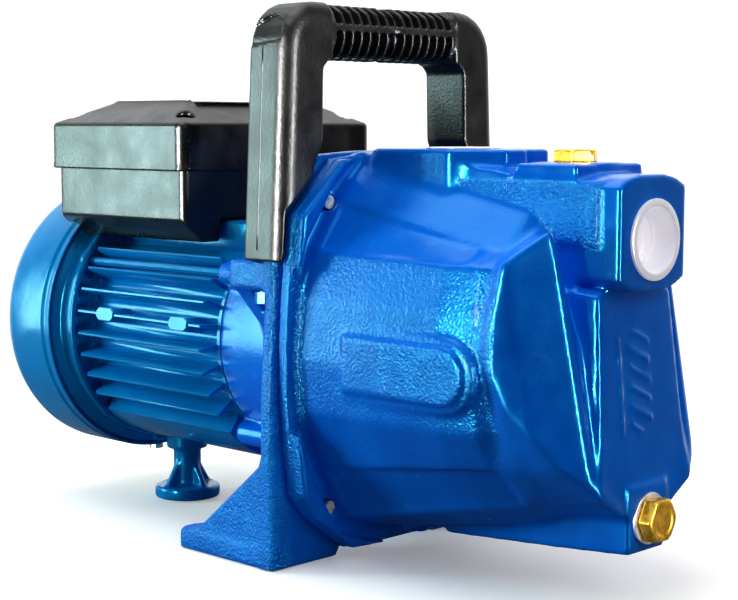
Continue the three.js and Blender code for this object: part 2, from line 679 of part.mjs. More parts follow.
COVER_ARMS.forEach((angle, i) => {
  add(
    `cover_screw_${i + 1}`,
    join(radialHole(angle, 4, COVER_RADIUS + GAP, 81.2), radialHole(angle, 1.9, 68, 80)),
    ZINC,
  );
});

// ---------------------------------------------------------------- support foot under the motor
const footPost = turnedUp(
  [
    [FLOOR, 0], [FLOOR, 18.4], [FLOOR + 1, 19], [FLOOR + 5, 19], [FLOOR + 7, 16.5], [FLOOR + 8, 8],
    [-80, 8], [-77, 12], [BASE_FLAT_Z - GAP, 12], [BASE_FLAT_Z - GAP, 0],
  ],
  FOOT_X,
);
const GUSSET_SECTION = [
  [-15, FLOOR + 3], [15, FLOOR + 3], [15, FLOOR + 8.5], [6, -86], [-6, -86], [-15, FLOOR + 8.5],
];
const gusset = prismY(GUSSET_SECTION.map(([x, z]) => [x + FOOT_X, z]), -2, 2);
add(
  "support_foot",
  cut(
    join(footPost, gusset),
    post(FLOOR - 1, -60, 3.3, FOOT_X, 0, PIN),
    post(FLOOR - 1, -90, 5.8, FOOT_X, 0, PIN),
  ),
  BLUE_GLOSS,
);
add(
  "foot_screw",
  join(post(-95, -90 - GAP, 5, FOOT_X, 0, PIN), post(-91, -58.5, 2.9, FOOT_X, 0, PIN)),
  ZINC,
);

// ---------------------------------------------------------------- carry handle
const corner = (y, z, r, from, to) =>
  Array.from({ length: 7 }, (_, i) => {
    const [dy, dz] = polar(r, from + ((to - from) * i) / 6);
    return [y + dy, z + dz];
  });
const HANDLE_CORNER = 23; // radius of the grip's shoulders
const HANDLE_HALF = 76; // half-width at the shoulders
const LEG_OUTER = 81; // the legs splay to these half-widths at their feet
const LEG_INNER = 64;
const HANDLE_OUTLINE = mirrored([
  ...corner(HANDLE_HALF - HANDLE_CORNER, GRIP_TOP_Z - HANDLE_CORNER, HANDLE_CORNER, 90, 0),
  [LEG_OUTER, LEG_LOW_Z], [LEG_INNER, LEG_LOW_Z], [51.6, GRIP_LOW_Z - 4], [47.6, GRIP_LOW_Z],
]);
const grown = (outline, factor) => outline.map(([y, z]) => [y * factor, z * factor]);
add(
  "carry_handle",
  cut(
    prismX(HANDLE_OUTLINE, HANDLE_REAR_X, HANDLE_FRONT_X),
    prismX(grown(BRACKET_OUTLINE, 1.01), BRACKET_BACK_X - GAP, HANDLE_FRONT_X + 1),
    [1, -1].map((side) => post(LEG_LOW_Z - 1, 64, 3.2, HANDLE_SCREW_X, side * HANDLE_SCREW_Y, PIN)),
  ),
  BLACK_PLASTIC,
);
[HANDLE_SCREW_Y, -HANDLE_SCREW_Y].forEach((y, i) => {
  const head = post(25, 30.6, 5, HANDLE_SCREW_X, y, PIN);
  add(`handle_screw_${i + 1}`, join(head, post(30, 62, 2.7, HANDLE_SCREW_X, y, PIN)), ZINC);
});

// ---------------------------------------------------------------- terminal box
const rounded = (x0, x1, half, r) => {
  const arc = (cx, cy, from) => Array.from({ length: 4 }, (_, i) => {
    const [dx, dy] = polar(r, from + 30 * i);
    return [cx + dx, cy + dy];
  });
  return [
    ...arc(x1 - r, half - r, 0), ...arc(x0 + r, half - r, 90), ...arc(x0 + r, r - half, 180),
    ...arc(x1 - r, r - half, 270),
  ];
};
const boxHalf = LID_HALF - BOX_INSET;
const boxRear = LID_REAR_X + BOX_INSET;
const boxFront = LID_FRONT_X - BOX_INSET;
const lidOutline = rounded(LID_REAR_X, LID_FRONT_X, LID_HALF, 6.5);
const lidScrewPlaces = [LID_REAR_X + 12, LID_FRONT_X - 12].flatMap((x) => [58, -58].map((y) => [x, y]));
const SKIRT_SECTION = [
  [38, BOX_SIDE_Z + 1], [boxHalf, BOX_SIDE_Z + 1], [boxHalf, BOX_SIDE_Z], [53, BOX_LOW_Z], [42, BOX_LOW_Z],
  [42, BOX_SIDE_Z - 2],
];
const boxSkirt = [1, -1].map((side) =>
  prismX(onSide(SKIRT_SECTION, side), boxRear, boxFront));
const GLAND_X = -272;
const SWITCH_X = -318;
const WALL_Z = 77; // height of the gland and switch in the far wall
add(
  "terminal_box",
  cut(
    join(
      cut(
        join(prismZ(rounded(boxRear, boxFront, boxHalf, 4), BOX_SIDE_Z, 92), boxSkirt),
        prismZ(rounded(-347, boxFront - 2.6, boxHalf - 2.6, 3), 65.4, 93),
        disc(LID_REAR_X - 5, -350, 83),
      ),
      lidScrewPlaces.slice(2).map(([x, y]) => post(64, 92, 5, x, y, PIN)),
    ),
    lidScrewPlaces.map(([x, y]) => post(70, 93, 2.4, x, y, PIN)),
    post(60, 70, 8, -296, 0, BORE),
    block(SWITCH_X - 13.6, SWITCH_X + 13.6, 60, 70, WALL_Z - 9.6, WALL_Z + 9.6),
    prismY(hexagon(16).map(([u, v]) => [u + GLAND_X, v + WALL_Z]), 60, 70),
  ),
  BLACK_PLASTIC,
);
const lidCrown = hull([
  ...lidOutline.map(([x, y]) => [x, y, LID_SIDE_Z]),
  ...rounded(LID_REAR_X + 14, LID_FRONT_X - 16, LID_HALF - 16, 4).map(([x, y]) => [x, y, LID_TOP_Z]),
]);
add(
  "terminal_lid",
  cut(
    join(prismZ(lidOutline, LID_LOW_Z, LID_SIDE_Z + 0.2), lidCrown),
    prismZ(rounded(LID_REAR_X + 2.5, LID_FRONT_X - 2.5, LID_HALF - 2.5, 4), LID_LOW_Z - 1, 108),
    lidScrewPlaces.map(([x, y]) => post(100, 130, 2.4, x, y, PIN)),
    lidScrewPlaces.map(([x, y]) => post(112.6, 130, 4.4, x, y, PIN)),
  ),
  BLACK_PLASTIC,
);
lidScrewPlaces.forEach(([x, y], i) => {
  add(
    `lid_screw_${i + 1}`,
    join(post(112.9, 115.4, 3.8, x, y, PIN), post(78, 113.5, 1.9, x, y, PIN)),
    ZINC,
  );
});
add(
  "capacitor",
  turned(
    [[-340, 0], [-340, 15.5], [-338, 17], [-270, 17], [-270, 15], [-267, 14], [-267, 0]],
    BORE,
    -38,
    85,
  ),
  ALUMINIUM,
);
add(
  "terminal_block",
  cut(block(-312, -280, 14, 34, 65.7, 82), [-304, -296, -288].map((x) => post(74, 83, 2.6, x, 24, PIN))),
  WHITE_PLASTIC,
);
const glandX = (y0, y1, r) => {
  const part = new THREE.CylinderGeometry(r, r, y1 - y0, BORE);
  part.translate(GLAND_X, (y0 + y1) / 2, WALL_Z);
  return solid(part);
};
const hexY = (y0, y1, af) => prismY(hexagon(af).map(([u, v]) => [u + GLAND_X, v + WALL_Z]), y0, y1);
add(
  "cable_gland",
  cut(join(glandX(58, boxHalf + 1, 7.2), hexY(boxHalf + GAP, boxHalf + 5, 20)), glandX(50, 80, 4.6)),
  BLACK_PLASTIC,
);
add(
  "gland_nut",
  cut(
    join(hexY(boxHalf + 5.3, boxHalf + 9, 18), glandX(boxHalf + 8.5, boxHalf + 13, 8)),
    glandX(60, 90, 4.2),
  ),
  BLACK_PLASTIC,
);
add(
  "switch_body",
  cut(
    join(
      block(SWITCH_X - 15.5, SWITCH_X + 15.5, boxHalf + GAP, boxHalf + 2.4, WALL_Z - 10.8, WALL_Z + 10.8),
      block(SWITCH_X - 13.2, SWITCH_X + 13.2, 46, boxHalf + 1, WALL_Z - 9.2, WALL_Z + 9.2),
    ),
    block(SWITCH_X - 11.6, SWITCH_X + 11.6, 54, 80, WALL_Z - 7.6, WALL_Z + 7.6),
  ),
  BLACK_PLASTIC,
);
// The rocker tips about a vertical pin at its middle; at rest its far end is pressed in.
const ROCKER_REST = radians(7);
const ROCKER_SECTION = [
  [-10.2, 1.5], [0, -0.4], [10.2, 1.5], [10.2, -3], [3, -7], [-3, -7], [-10.2, -3],
];
const rocker = new THREE.ExtrudeGeometry(
  new THREE.Shape(ROCKER_SECTION.map(([u, v]) => new THREE.Vector2(u, v))),
  { depth: 14.4, bevelEnabled: false },
);
rocker.translate(0, 0, -7.2);
rocker.rotateZ(ROCKER_REST);
rocker.translate(SWITCH_X, boxHalf + 3, WALL_Z);
add("switch_rocker", solid(rocker), RUBBER);

export default pump;
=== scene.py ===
"""Looks for the shallow well jet pump: castings, motor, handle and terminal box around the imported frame.

Shapes are worked out in millimetres in the shaft frame (X along the shaft with 0 at the suction face and
the motor behind it, Z 0 at the shaft axis) and placed in metres in the row frame when a mesh is made.
Castings are distance fields on a grid, so that every edge and corner gets the soft radius of a sand casting.
"""

import json
import math

import bmesh
import bpy
import numpy as np
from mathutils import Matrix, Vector


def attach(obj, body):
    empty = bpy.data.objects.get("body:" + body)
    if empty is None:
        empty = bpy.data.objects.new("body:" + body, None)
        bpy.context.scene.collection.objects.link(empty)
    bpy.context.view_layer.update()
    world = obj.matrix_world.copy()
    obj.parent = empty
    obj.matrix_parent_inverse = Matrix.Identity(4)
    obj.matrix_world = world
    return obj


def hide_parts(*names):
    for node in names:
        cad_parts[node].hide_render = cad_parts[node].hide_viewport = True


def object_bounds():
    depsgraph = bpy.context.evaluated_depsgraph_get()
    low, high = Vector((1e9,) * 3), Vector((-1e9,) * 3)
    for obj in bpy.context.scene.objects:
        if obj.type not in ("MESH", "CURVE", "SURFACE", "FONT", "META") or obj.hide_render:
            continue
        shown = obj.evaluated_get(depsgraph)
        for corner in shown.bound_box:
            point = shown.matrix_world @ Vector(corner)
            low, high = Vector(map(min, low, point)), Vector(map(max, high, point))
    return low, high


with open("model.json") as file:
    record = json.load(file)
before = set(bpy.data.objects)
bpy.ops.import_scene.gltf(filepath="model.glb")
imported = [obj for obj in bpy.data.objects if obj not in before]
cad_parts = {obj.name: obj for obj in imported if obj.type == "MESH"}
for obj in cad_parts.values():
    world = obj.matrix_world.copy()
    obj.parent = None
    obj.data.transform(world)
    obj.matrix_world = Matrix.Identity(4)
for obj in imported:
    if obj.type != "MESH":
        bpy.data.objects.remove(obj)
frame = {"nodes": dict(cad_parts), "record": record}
cad_low, cad_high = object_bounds()
NODES = frame["nodes"]

MM = 0.001
FRONT_LIMIT_X = 8.5  # front of the drain plug's head, the foremost point
SHAFT_Z = 106  # shaft axis above the floor
ORIGIN = Vector((cad_high.x - FRONT_LIMIT_X * MM, 0, cad_low.z + SHAFT_Z * MM))


# ---------------------------------------------------------------- distance fields on a grid
class Grid:
    """Sample points of a box in the shaft frame; x, y and z broadcast against one another."""

    def __init__(self, low, high, step):
        self.low, self.step = np.array(low, float), step
        counts = [int(math.ceil((h - l) / step)) + 1 for l, h in zip(low, high)]
        axes = [l + step * np.arange(n) for l, n in zip(low, counts)]
        self.x = axes[0][:, None, None]
        self.y = axes[1][None, :, None]
        self.z = axes[2][None, None, :]


def outline_field(u, v, points):
    """Signed distance to a closed outline, negative inside."""
    u, v = np.broadcast_arrays(u, v)
    nearest = np.full(u.shape, 1e9)
    inside = np.zeros(u.shape, bool)
    for (a, b), (c, d) in zip(points, [*points[1:], points[0]]):
        du, dv = c - a, d - b
        if not (du or dv):
            continue
        along = np.clip(((u - a) * du + (v - b) * dv) / (du * du + dv * dv), 0, 1)
        nearest = np.minimum(nearest, (u - a - along * du) ** 2 + (v - b - along * dv) ** 2)
        if dv:
            inside ^= ((b > v) != (d > v)) & (u < a + (v - b) * du / dv)
    return np.where(inside, -1, 1) * np.sqrt(nearest)


def slab(x, low, high):
    return np.abs(x - (low + high) / 2) - (high - low) / 2


def disc_field(u, v, radius, centre=(0, 0)):
    return np.hypot(u - centre[0], v - centre[1]) - radius


def union(*fields):
    return np.minimum.reduce(np.broadcast_arrays(*fields))


def common(*fields):
    return np.maximum.reduce(np.broadcast_arrays(*fields))


def minus(body, *tools):
    for tool in tools:
        body = np.maximum(body, -tool)
    return body


def weld(a, b, radius):
    """Union with a concave fillet of that radius."""
    fillet = radius - np.hypot(np.maximum(radius - a, 0), np.maximum(radius - b, 0))
    return np.where(np.maximum(a, b) < radius, np.minimum(np.minimum(a, b), fillet), np.minimum(a, b))


def rounded(a, b, radius):
    """Intersection whose edge is rounded to that radius."""
    return -weld(-a, -b, radius)


def soften(field, passes):
    """Rounds every edge and inner corner: one pass smooths over about 0.7 of a grid step."""
    for _ in range(passes):
        for axis in range(3):
            padded = np.pad(field, [(1, 1) if i == axis else (0, 0) for i in range(3)], mode="edge")
            ahead = np.take(padded, range(2, padded.shape[axis]), axis)
            behind = np.take(padded, range(0, padded.shape[axis] - 2), axis)
            field = (ahead + behind) / 4 + field / 2
    return field


def hull_field(grid, points):
    """Distance to the planes of the points' convex hull."""
    bm = bmesh.new()
    for p in points:
        bm.verts.new(p)
    bmesh.ops.convex_hull(bm, input=bm.verts)
    bm.normal_update()
    centre = sum((v.co for v in bm.verts), Vector()) / len(bm.verts)
    planes = set()
    for face in bm.faces:
        normal = face.normal if face.normal.dot(face.calc_center_median() - centre) > 0 else -face.normal
        planes.add(tuple(round(c, 4) for c in (*normal, normal.dot(face.verts[0].co))))
    bm.free()
    return common(*[nx * grid.x + ny * grid.y + nz * grid.z - d for nx, ny, nz, d in sorted(planes)])


def loft_field(grid, sections):
    """A body whose cross-section, an outline of (|y|, z), changes along X; sections are (x, outline)."""
    places = [x for x, _ in sections]
    outlines = np.array([outline for _, outline in sections], float)
    layers = []
    for x in grid.x.ravel():
        blend = [[np.interp(x, places, outlines[:, i, k]) for k in (0, 1)] for i in range(outlines.shape[1])]
        layers.append(outline_field(np.abs(grid.y[0]), grid.z[0], blend))
    return common(np.array(layers), slab(grid.x, places[0], places[-1]))


CORNERS = [(i, j, k) for i in (0, 1) for j in (0, 1) for k in (0, 1)]
CELL_EDGES = [(a, b) for a in CORNERS for b in CORNERS if a < b and sum(p != q for p, q in zip(a, b)) == 1]


def surface_net(grid, field):
    """Vertices and quads of the field's zero surface, one vertex in each cell that it crosses."""
    shape = [n - 1 for n in field.shape]
    part = {c: field[c[0]:c[0] + shape[0], c[1]:c[1] + shape[1], c[2]:c[2] + shape[2]] for c in CORNERS}
    filled = sum((part[c] < 0).astype(np.int8) for c in CORNERS)
    crossed = (filled > 0) & (filled < 8)
    cells = np.argwhere(crossed)
    total = np.zeros((len(cells), 3))
    hits = np.zeros(len(cells))
    for a, b in CELL_EDGES:
        fa, fb = part[a][crossed], part[b][crossed]
        crossing = (fa < 0) != (fb < 0)
        share = np.where(crossing, fa / np.where(crossing, fa - fb, 1), 0)
        point = np.array(a) + share[:, None] * (np.array(b) - np.array(a))
        total += point * crossing[:, None]
        hits += crossing
    vertices = grid.low + (cells + total / hits[:, None]) * grid.step
    index = np.full(shape, -1)
    index[crossed] = np.arange(len(cells))
    quads = []
    for axis in range(3):
        low = [slice(1, n) for n in shape]
        low[axis] = slice(0, shape[axis])
        high = list(low)
        high[axis] = slice(1, shape[axis] + 1)
        first, second = field[tuple(low)] < 0, field[tuple(high)] < 0
        for rising in (True, False):
            edges = np.argwhere(first & ~second if rising else ~first & second)
            offset = np.ones(3, int)
            offset[axis] = 0
            edges = edges + offset
            u, v = [(1, 2), (2, 0), (0, 1)][axis]
            ring = []
            for du, dv in ((0, 0), (1, 0), (1, 1), (0, 1)):
                cell = edges.copy()
                cell[:, u] -= du
                cell[:, v] -= dv
                ring.append(index[tuple(cell.T)])
            quad = np.stack(ring, 1)
            quads.append(quad if rising else quad[:, ::-1])
    return vertices, np.concatenate(quads)


def mirror_y(field):
    """The whole field from its half at Y <= 0, whose last layer is Y 0."""
    return np.concatenate([field, field[:, -2::-1]], axis=1)


# ---------------------------------------------------------------- meshes
def new_mesh(name, vertices, faces, body="pump", material=None, smooth=True, sharp_angle=None):
    """A mesh object from shaft-frame millimetres, riding on a body."""
    mesh = bpy.data.meshes.new(name)
    places = np.asarray(vertices, float) * MM + np.array(ORIGIN)
    mesh.from_pydata(places.tolist(), [], faces.tolist() if isinstance(faces, np.ndarray) else faces)
    mesh.validate()
    piece = bpy.data.objects.new(name, mesh)
    bpy.context.scene.collection.objects.link(piece)
    mesh.polygons.foreach_set("use_smooth", [smooth] * len(mesh.polygons))
    if sharp_angle:
        mesh.set_sharp_from_angle(angle=math.radians(sharp_angle))
    if material:
        mesh.materials.append(material)
    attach(piece, body)
    return piece


def cast_piece(name, grid, field, body="pump", material=None, grain=None):
    """A casting from its distance field. grain(x, y, z) says how rough the skin is at each point."""
    vertices, quads = surface_net(grid, field)
    piece = new_mesh(name, vertices, quads, body, material)
    if grain:
        values = np.clip(grain(*vertices.T), 0, 1)
        layer = piece.data.attributes.new("grain", "FLOAT", "POINT")
        layer.data.foreach_set("value", values.astype(np.float32))
    return piece


def step(x, edge, width):
    """0 below the edge, 1 above it, smooth over the width."""
    t = np.clip((x - edge) / width + 0.5, 0, 1)
    return t * t * (3 - 2 * t)


def arc(cu, cv, radius, start, end, count):
    return [
        (cu + radius * math.cos(math.radians(a)), cv + radius * math.sin(math.radians(a)))
        for a in np.linspace(start, end, count)
    ]


# ---------------------------------------------------------------- pump casing
JOINT_X = -164
FLANGE_OUTLINE = [
    (0, 98), (20, 98), (44, 95.5), (72, 69), (76, 30), (77.4, 5), (77, -20), (75, -45), (72, -68), (63, -80),
    (38, -99.5), (16, -101), (0, -101),
]
# Cross-sections of the barrel, (|y|, z) from the top of the neck down to the keel.
BARREL = [
    (-158, [
        (0, 95), (25, 97), (45, 78), (62, 53), (70, 28), (72.5, 0), (70.5, -26), (59, -55), (42, -84),
        (22, -91), (0, -94),
    ]),
    (-112, [
        (0, 89), (25, 89), (45, 69), (62, 51.6), (69.5, 28), (72, 0), (69.8, -26), (57.5, -50), (40.5, -75),
        (22, -84), (0, -87),
    ]),
    (-68, [
        (0, 82), (25, 81), (45, 59), (62, 50.5), (68, 28), (70, 0), (67.5, -26), (57, -44), (40, -64),
        (22, -76), (0, -80),
    ]),
    (-48, [
        (0, 76), (25, 77), (45, 55), (60, 50), (65, 28), (67, 0), (64, -25), (54, -42), (39, -58), (22, -71),
        (0, -74),
    ]),
    (-34, [
        (0, 60), (22, 62), (36, 48), (46, 42), (52, 24), (54, 0), (50, -22), (42, -38), (34, -52), (20, -64),
        (0, -66),
    ]),
]
# The cheek is the convex hull of its curved crease, its straight nose and points inside the barrel.
CHEEK_EDGE = [
    (-36, -62, 53), (-42, -66.5, 23), (-40, -67, 6), (-34, -64, -11), (-21, -59, -24), (-12.5, -51, -37),
    (-4, -41, -44),
]
CHEEK_NOSE = [
    (-24, -43, 67), (-20, -43, 45), (-17, -42, 14), (-11, -42, -16), (-4.5, -41, -35), (-1.5, -36, -50),
]
CHEEK_ROOT = [
    (-50, -24, 62), (-34, -26, 40), (-30, -27, 14), (-20, -28, -20), (-52, -52, 46), (-56, -58, -6),
    (-44, -52, -42), (-44, -38, -57), (-4, -18, -60), (-40, -18, -68),
]
PLATE_FACE = [(-1.7, 35, -52), (-9.6, 28, 37), (-9.8, 20, 40.5), (-9.9, 0, 42), (-0.9, 18, -62)]
PLATE_BACK = [(-50, 28, 40), (-50, 30, -60), (-50, 18, -66)]
PORT_Z, PORT_BORE, PORT_HALF = 61.6, 16.6, 25.5
DISCHARGE_X, DISCHARGE_TOP, PRIMING_X, PRIMING_TOP = -112, 101, -44, 93.4
DRAIN_Z, PLUG_HOLE = -65, 8.5
BOLT_Y, BOLT_Z = 50.5, (75, -77)
PAD_Y, PAD_STEP_Y = 73.2, 70.2
LOWER_RECESS_DEPTH, FACET_DEPTH = 2.4, 1.5


def both_sides(points):
    return [*points, *[(x, -y, z) for x, y, z in points]]


def capsule(u0, u1, v, radius):
    """A bar with one rounded end at u1."""
    return [(u0, v - radius), *arc(u1 - radius, v, radius, -90, 90, 9), (u0, v + radius)]


def casing_grid():
    return Grid((-166, -84, -104), (3, 0, 104), 1.2)


def casing_field(g):
    ay = np.abs(g.y)
    barrel = loft_field(g, BARREL)
    recess_outline = [
        (-150, -56), (-60, -43.5), (-45, -43), (-39, -47), (-38, -53), (-43, -59), (-150, -82),
    ]
    recess = common(outline_field(g.x, g.z, recess_outline), g.y + 20)
    barrel = minus(barrel, common(recess, -(barrel + LOWER_RECESS_DEPTH)))
    pad = common(outline_field(g.x, g.z, capsule(-125, -50, 0.5, 13.5)), ay - PAD_Y, 40 - ay)
    pad_step = common(outline_field(g.x, g.z, capsule(-125, -45.5, 0.5, 17.5)), ay - PAD_STEP_Y, 40 - ay)
    cheek = hull_field(g, [*CHEEK_EDGE, *CHEEK_NOSE, *CHEEK_ROOT])
    facet_outline = [(-150, 52.6), (-150, 74), (-62, 56.5), (-58.5, 53.5), (-60, 50.8), (-66, 50.2)]
    facet = common(outline_field(g.x, g.z, facet_outline), g.y + 38)
    barrel = minus(soften(barrel, 2), common(facet, -(barrel + FACET_DEPTH)))
    keen = step(g.x, -30, 8)  # the nose stays sharp, the crease behind it is rounded
    cheek = soften(cheek, 1) * keen + (soften(cheek, 5) - 0.5) * (1 - keen)
    body = weld(barrel, cheek, 4)
    body = weld(body, pad_step, 1.2)
    body = weld(body, rounded(pad, ay - PAD_Y, 1.2), 1.2)

    flange = outline_field(ay[0], g.z[0], FLANGE_OUTLINE)[None]
    flange = common(flange, slab(g.x, JOINT_X + 0.3, JOINT_X + 13.5))
    around = outline_field(ay[0], g.z[0], BARREL[0][1])[None]
    flange = minus(flange, rounded(around - 7.5, JOINT_X + 6.5 - g.x, 3))
    body = weld(body, flange, 5)

    plate = hull_field(g, both_sides([*PLATE_FACE, *PLATE_BACK]))
    keel_outline = [(-110, -70), (-110, -88.5), (-39, -83.5), (-0.6, -80.3), (-0.6, -50), (-40, -50)]
    keel = common(outline_field(g.x, g.z, keel_outline), ay - 14.5)
    neck_outline = [(-163, 60), (-163, 97), (-150, 98), (-72, 92), (-56, 89), (-30, 88), (-12, 88), (-12, 60)]
    neck = common(outline_field(g.x, g.z, neck_outline), ay - 26)
    arch = [(10, 90.6), (18, 89), (PORT_HALF, 85.5), (PORT_HALF, 43.5), (18, 40), (10, 38.4)]
    arch += [(-y, z) for y, z in arch[::-1]]
    port = common(outline_field(ay[0], g.z[0], arch)[None], slab(g.x, -60, 0))
    under_port = common(outline_field(g.x, g.z, [(-60, 40), (-24, 40), (-24, 95), (-60, 95)]), ay - 25.5)
    octagon = [(-150, 24), (-144, 30), (-96, 30), (-72, 16), (-72, 0), (-150, 0)]
    boss = common(outline_field(g.x, ay, octagon), slab(g.z, 60, DISCHARGE_TOP))
    collar = common(disc_field(g.x, g.y, 18, (PRIMING_X, 0)), slab(g.z, 60, PRIMING_TOP))
    front = weld(body, plate, 3)
    front = weld(front, keel, 3)
    front = weld(front, neck, 4)
    front = weld(front, union(port, under_port), 2.5)
    front = weld(front, boss, 3)
    front = weld(front, collar, 4)
    return soften(front, 1)


def casing_cuts(g):
    """Machined faces and openings: sharp, because they are cut after casting."""
    ay = np.abs(g.y)
    radius = np.hypot(g.y, g.z)
    cavity = outline_field(g.x, radius, [
        (-170, -1), (-170, 64), (-150, 64), (-146, 62), (-70, 59), (-50, 50), (-42, 38), (-42, -1),
    ])
    suction = common(disc_field(g.y, g.z, PORT_BORE, (0, PORT_Z)), -30 - g.x)
    chamber = common(ay - 13, slab(g.x, -30, -12), slab(g.z, -14, PORT_Z))
    throat = common(radius - 10.4, slab(g.x, -44, -24))
    discharge = common(disc_field(g.x, g.y, PORT_BORE, (DISCHARGE_X, 0)), 40 - g.z)
    priming = common(disc_field(g.x, g.y, PLUG_HOLE, (PRIMING_X, 0)), 40 - g.z)
    drain = common(disc_field(g.y, g.z, PLUG_HOLE, (0, DRAIN_Z)), slab(g.x, -52, 3))
    bolts = [disc_field(ay, g.z, 4, (BOLT_Y, z)) for z in BOLT_Z]
    bolts = [common(b, g.x - (JOINT_X + 11)) for b in bolts]
    dimples = [
        np.sqrt((g.x - (JOINT_X + 15.2)) ** 2 + (ay - BOLT_Y) ** 2 + (g.z - z) ** 2) - 3.4 for z in BOLT_Z
    ]
    return [cavity, suction, chamber, throat, discharge, priming, drain, *bolts, *dimples]


# ---------------------------------------------------------------- materials
class Nodes:
    """Shorthand for building one material's node tree; positions are taken in object space, in metres."""

    def __init__(self, name):
        self.material = bpy.data.materials.new(name)
        self.material.use_nodes = True
        self.tree = self.material.node_tree
        self.shader = self.tree.nodes["Principled BSDF"]
        self.place = self.tree.nodes.new("ShaderNodeTexCoord").outputs["Object"]

    def add(self, kind, settings=None, **inputs):
        node = self.tree.nodes.new(kind)
        for key, value in (settings or {}).items():
            setattr(node, key, value)
        for key, value in inputs.items():
            self.wire(node.inputs[key.replace("_", " ")], value)
        return node

    def wire(self, socket, value):
        if isinstance(value, bpy.types.NodeSocket):
            self.tree.links.new(value, socket)
        else:
            socket.default_value = value

    def set(self, **inputs):
        for key, value in inputs.items():
            self.wire(self.shader.inputs[key.replace("_", " ")], value)

    def noise(self, scale, detail=2.0, roughness=0.5, vector=None):
        node = self.add("ShaderNodeTexNoise", Vector=vector or self.place, Scale=scale, Detail=detail)
        node.inputs["Roughness"].default_value = roughness
        return node.outputs["Fac"]

    def cells(self, scale, vector=None):
        place = vector or self.place
        node = self.add("ShaderNodeTexVoronoi", {"feature": "SMOOTH_F1"}, Vector=place, Scale=scale)
        return node.outputs["Distance"]

    def scaled(self, x, y, z):
        node = self.tree.nodes.new("ShaderNodeVectorMath")
        node.operation = "MULTIPLY"
        self.tree.links.new(self.place, node.inputs[0])
        node.inputs[1].default_value = (x, y, z)
        return node.outputs[0]

    def maths(self, operation, a, b=0.0):
        node = self.tree.nodes.new("ShaderNodeMath")
        node.operation = operation
        self.wire(node.inputs[0], a)
        self.wire(node.inputs[1], b)
        return node.outputs[0]

    def between(self, value, low, high, out_low, out_high):
        node = self.tree.nodes.new("ShaderNodeMapRange")
        self.tree.links.new(value, node.inputs["Value"])
        for key, number in (("From Min", low), ("From Max", high), ("To Min", out_low), ("To Max", out_high)):
            node.inputs[key].default_value = number
        return node.outputs["Result"]

    def colours(self, value, *stops):
        ramp = self.tree.nodes.new("ShaderNodeValToRGB")
        self.tree.links.new(value, ramp.inputs["Fac"])
        elements = ramp.color_ramp.elements
        while len(elements) < len(stops):
            elements.new(0.5)
        for element, (position, colour) in zip(elements, stops):
            element.position = position
            element.color = (*colour, 1)
        return ramp.outputs["Color"]

    def bump(self, height, distance, strength=1.0, after=None):
        node = self.add("ShaderNodeBump", Height=height, Distance=distance)
        self.wire(node.inputs["Strength"], strength)
        if after:
            self.tree.links.new(after, node.inputs["Normal"])
        return node.outputs["Normal"]

    def attribute(self, name):
        return self.add("ShaderNodeAttribute", {"attribute_name": name}).outputs["Fac"]


CAST_BLUES = (0.0001, 0.135, 0.66), (0.0002, 0.17, 0.76), (0.0004, 0.205, 0.84)
MOTOR_BLUES = (0.0001, 0.185, 0.47), (0.0002, 0.215, 0.54), (0.0004, 0.25, 0.61)
BLUE_SHEEN = (0.05, 0.7, 1.0, 1)  # what the pigment leaves of a broad reflection


def cast_paint():
    """Thick blue enamel over a sand casting: an orange peel where the skin is raw, glossy where dressed."""
    n = Nodes("cast_blue_enamel")
    grain = n.attribute("grain")
    peel = n.maths("MULTIPLY", n.cells(760), 1.3)
    peel = n.maths("ADD", peel, n.maths("MULTIPLY", n.noise(1100, 3, 0.6), 1.1))
    fine = n.noise(160, 3, 0.55)
    n.set(
        Base_Color=n.colours(n.noise(22, 4, 0.6), *zip((0.3, 0.55, 0.8), CAST_BLUES)),
        Roughness=n.between(n.noise(90, 3), 0.3, 0.7, 0.16, 0.28),
        Normal=n.bump(peel, 0.0007, grain, n.bump(fine, 0.0003, 0.2)),
        Specular_Tint=BLUE_SHEEN,
        Specular_IOR_Level=0.5,
        Coat_Weight=0.03,
        Coat_Roughness=0.12,
    )
    return n.material


def smooth_paint(name, peel_scale, peel_depth):
    """Sprayed enamel on an aluminium casting or sheet: glossy with a faint long wave."""
    n = Nodes(name)
    n.set(
        Base_Color=n.colours(n.noise(18, 4, 0.6), *zip((0.3, 0.55, 0.8), MOTOR_BLUES)),
        Roughness=n.between(n.noise(120, 3), 0.3, 0.7, 0.14, 0.26),
        Normal=n.bump(n.noise(peel_scale, 3, 0.5), peel_depth, 0.5),
        Specular_Tint=BLUE_SHEEN,
        Specular_IOR_Level=0.5,
        Coat_Weight=0.03,
        Coat_Roughness=0.08,
    )
    return n.material


def moulded(name, dark, light, roughness, grain_scale=900, depth=0.00012):
    """Injection-moulded plastic: spark-eroded grain, faint flow marks, slightly uneven sheen."""
    n = Nodes(name)
    grain = n.maths("ADD", n.noise(grain_scale, 2, 0.6), n.cells(grain_scale * 0.7))
    n.set(
        Base_Color=n.colours(n.noise(35, 5, 0.65), (0.3, dark), (0.75, light)),
        Roughness=n.between(n.noise(60, 4), 0.3, 0.7, roughness - 0.06, roughness + 0.08),
        Normal=n.bump(grain, depth, 0.6, n.bump(n.noise(25, 1), 0.0003, 0.12)),
    )
    return n.material


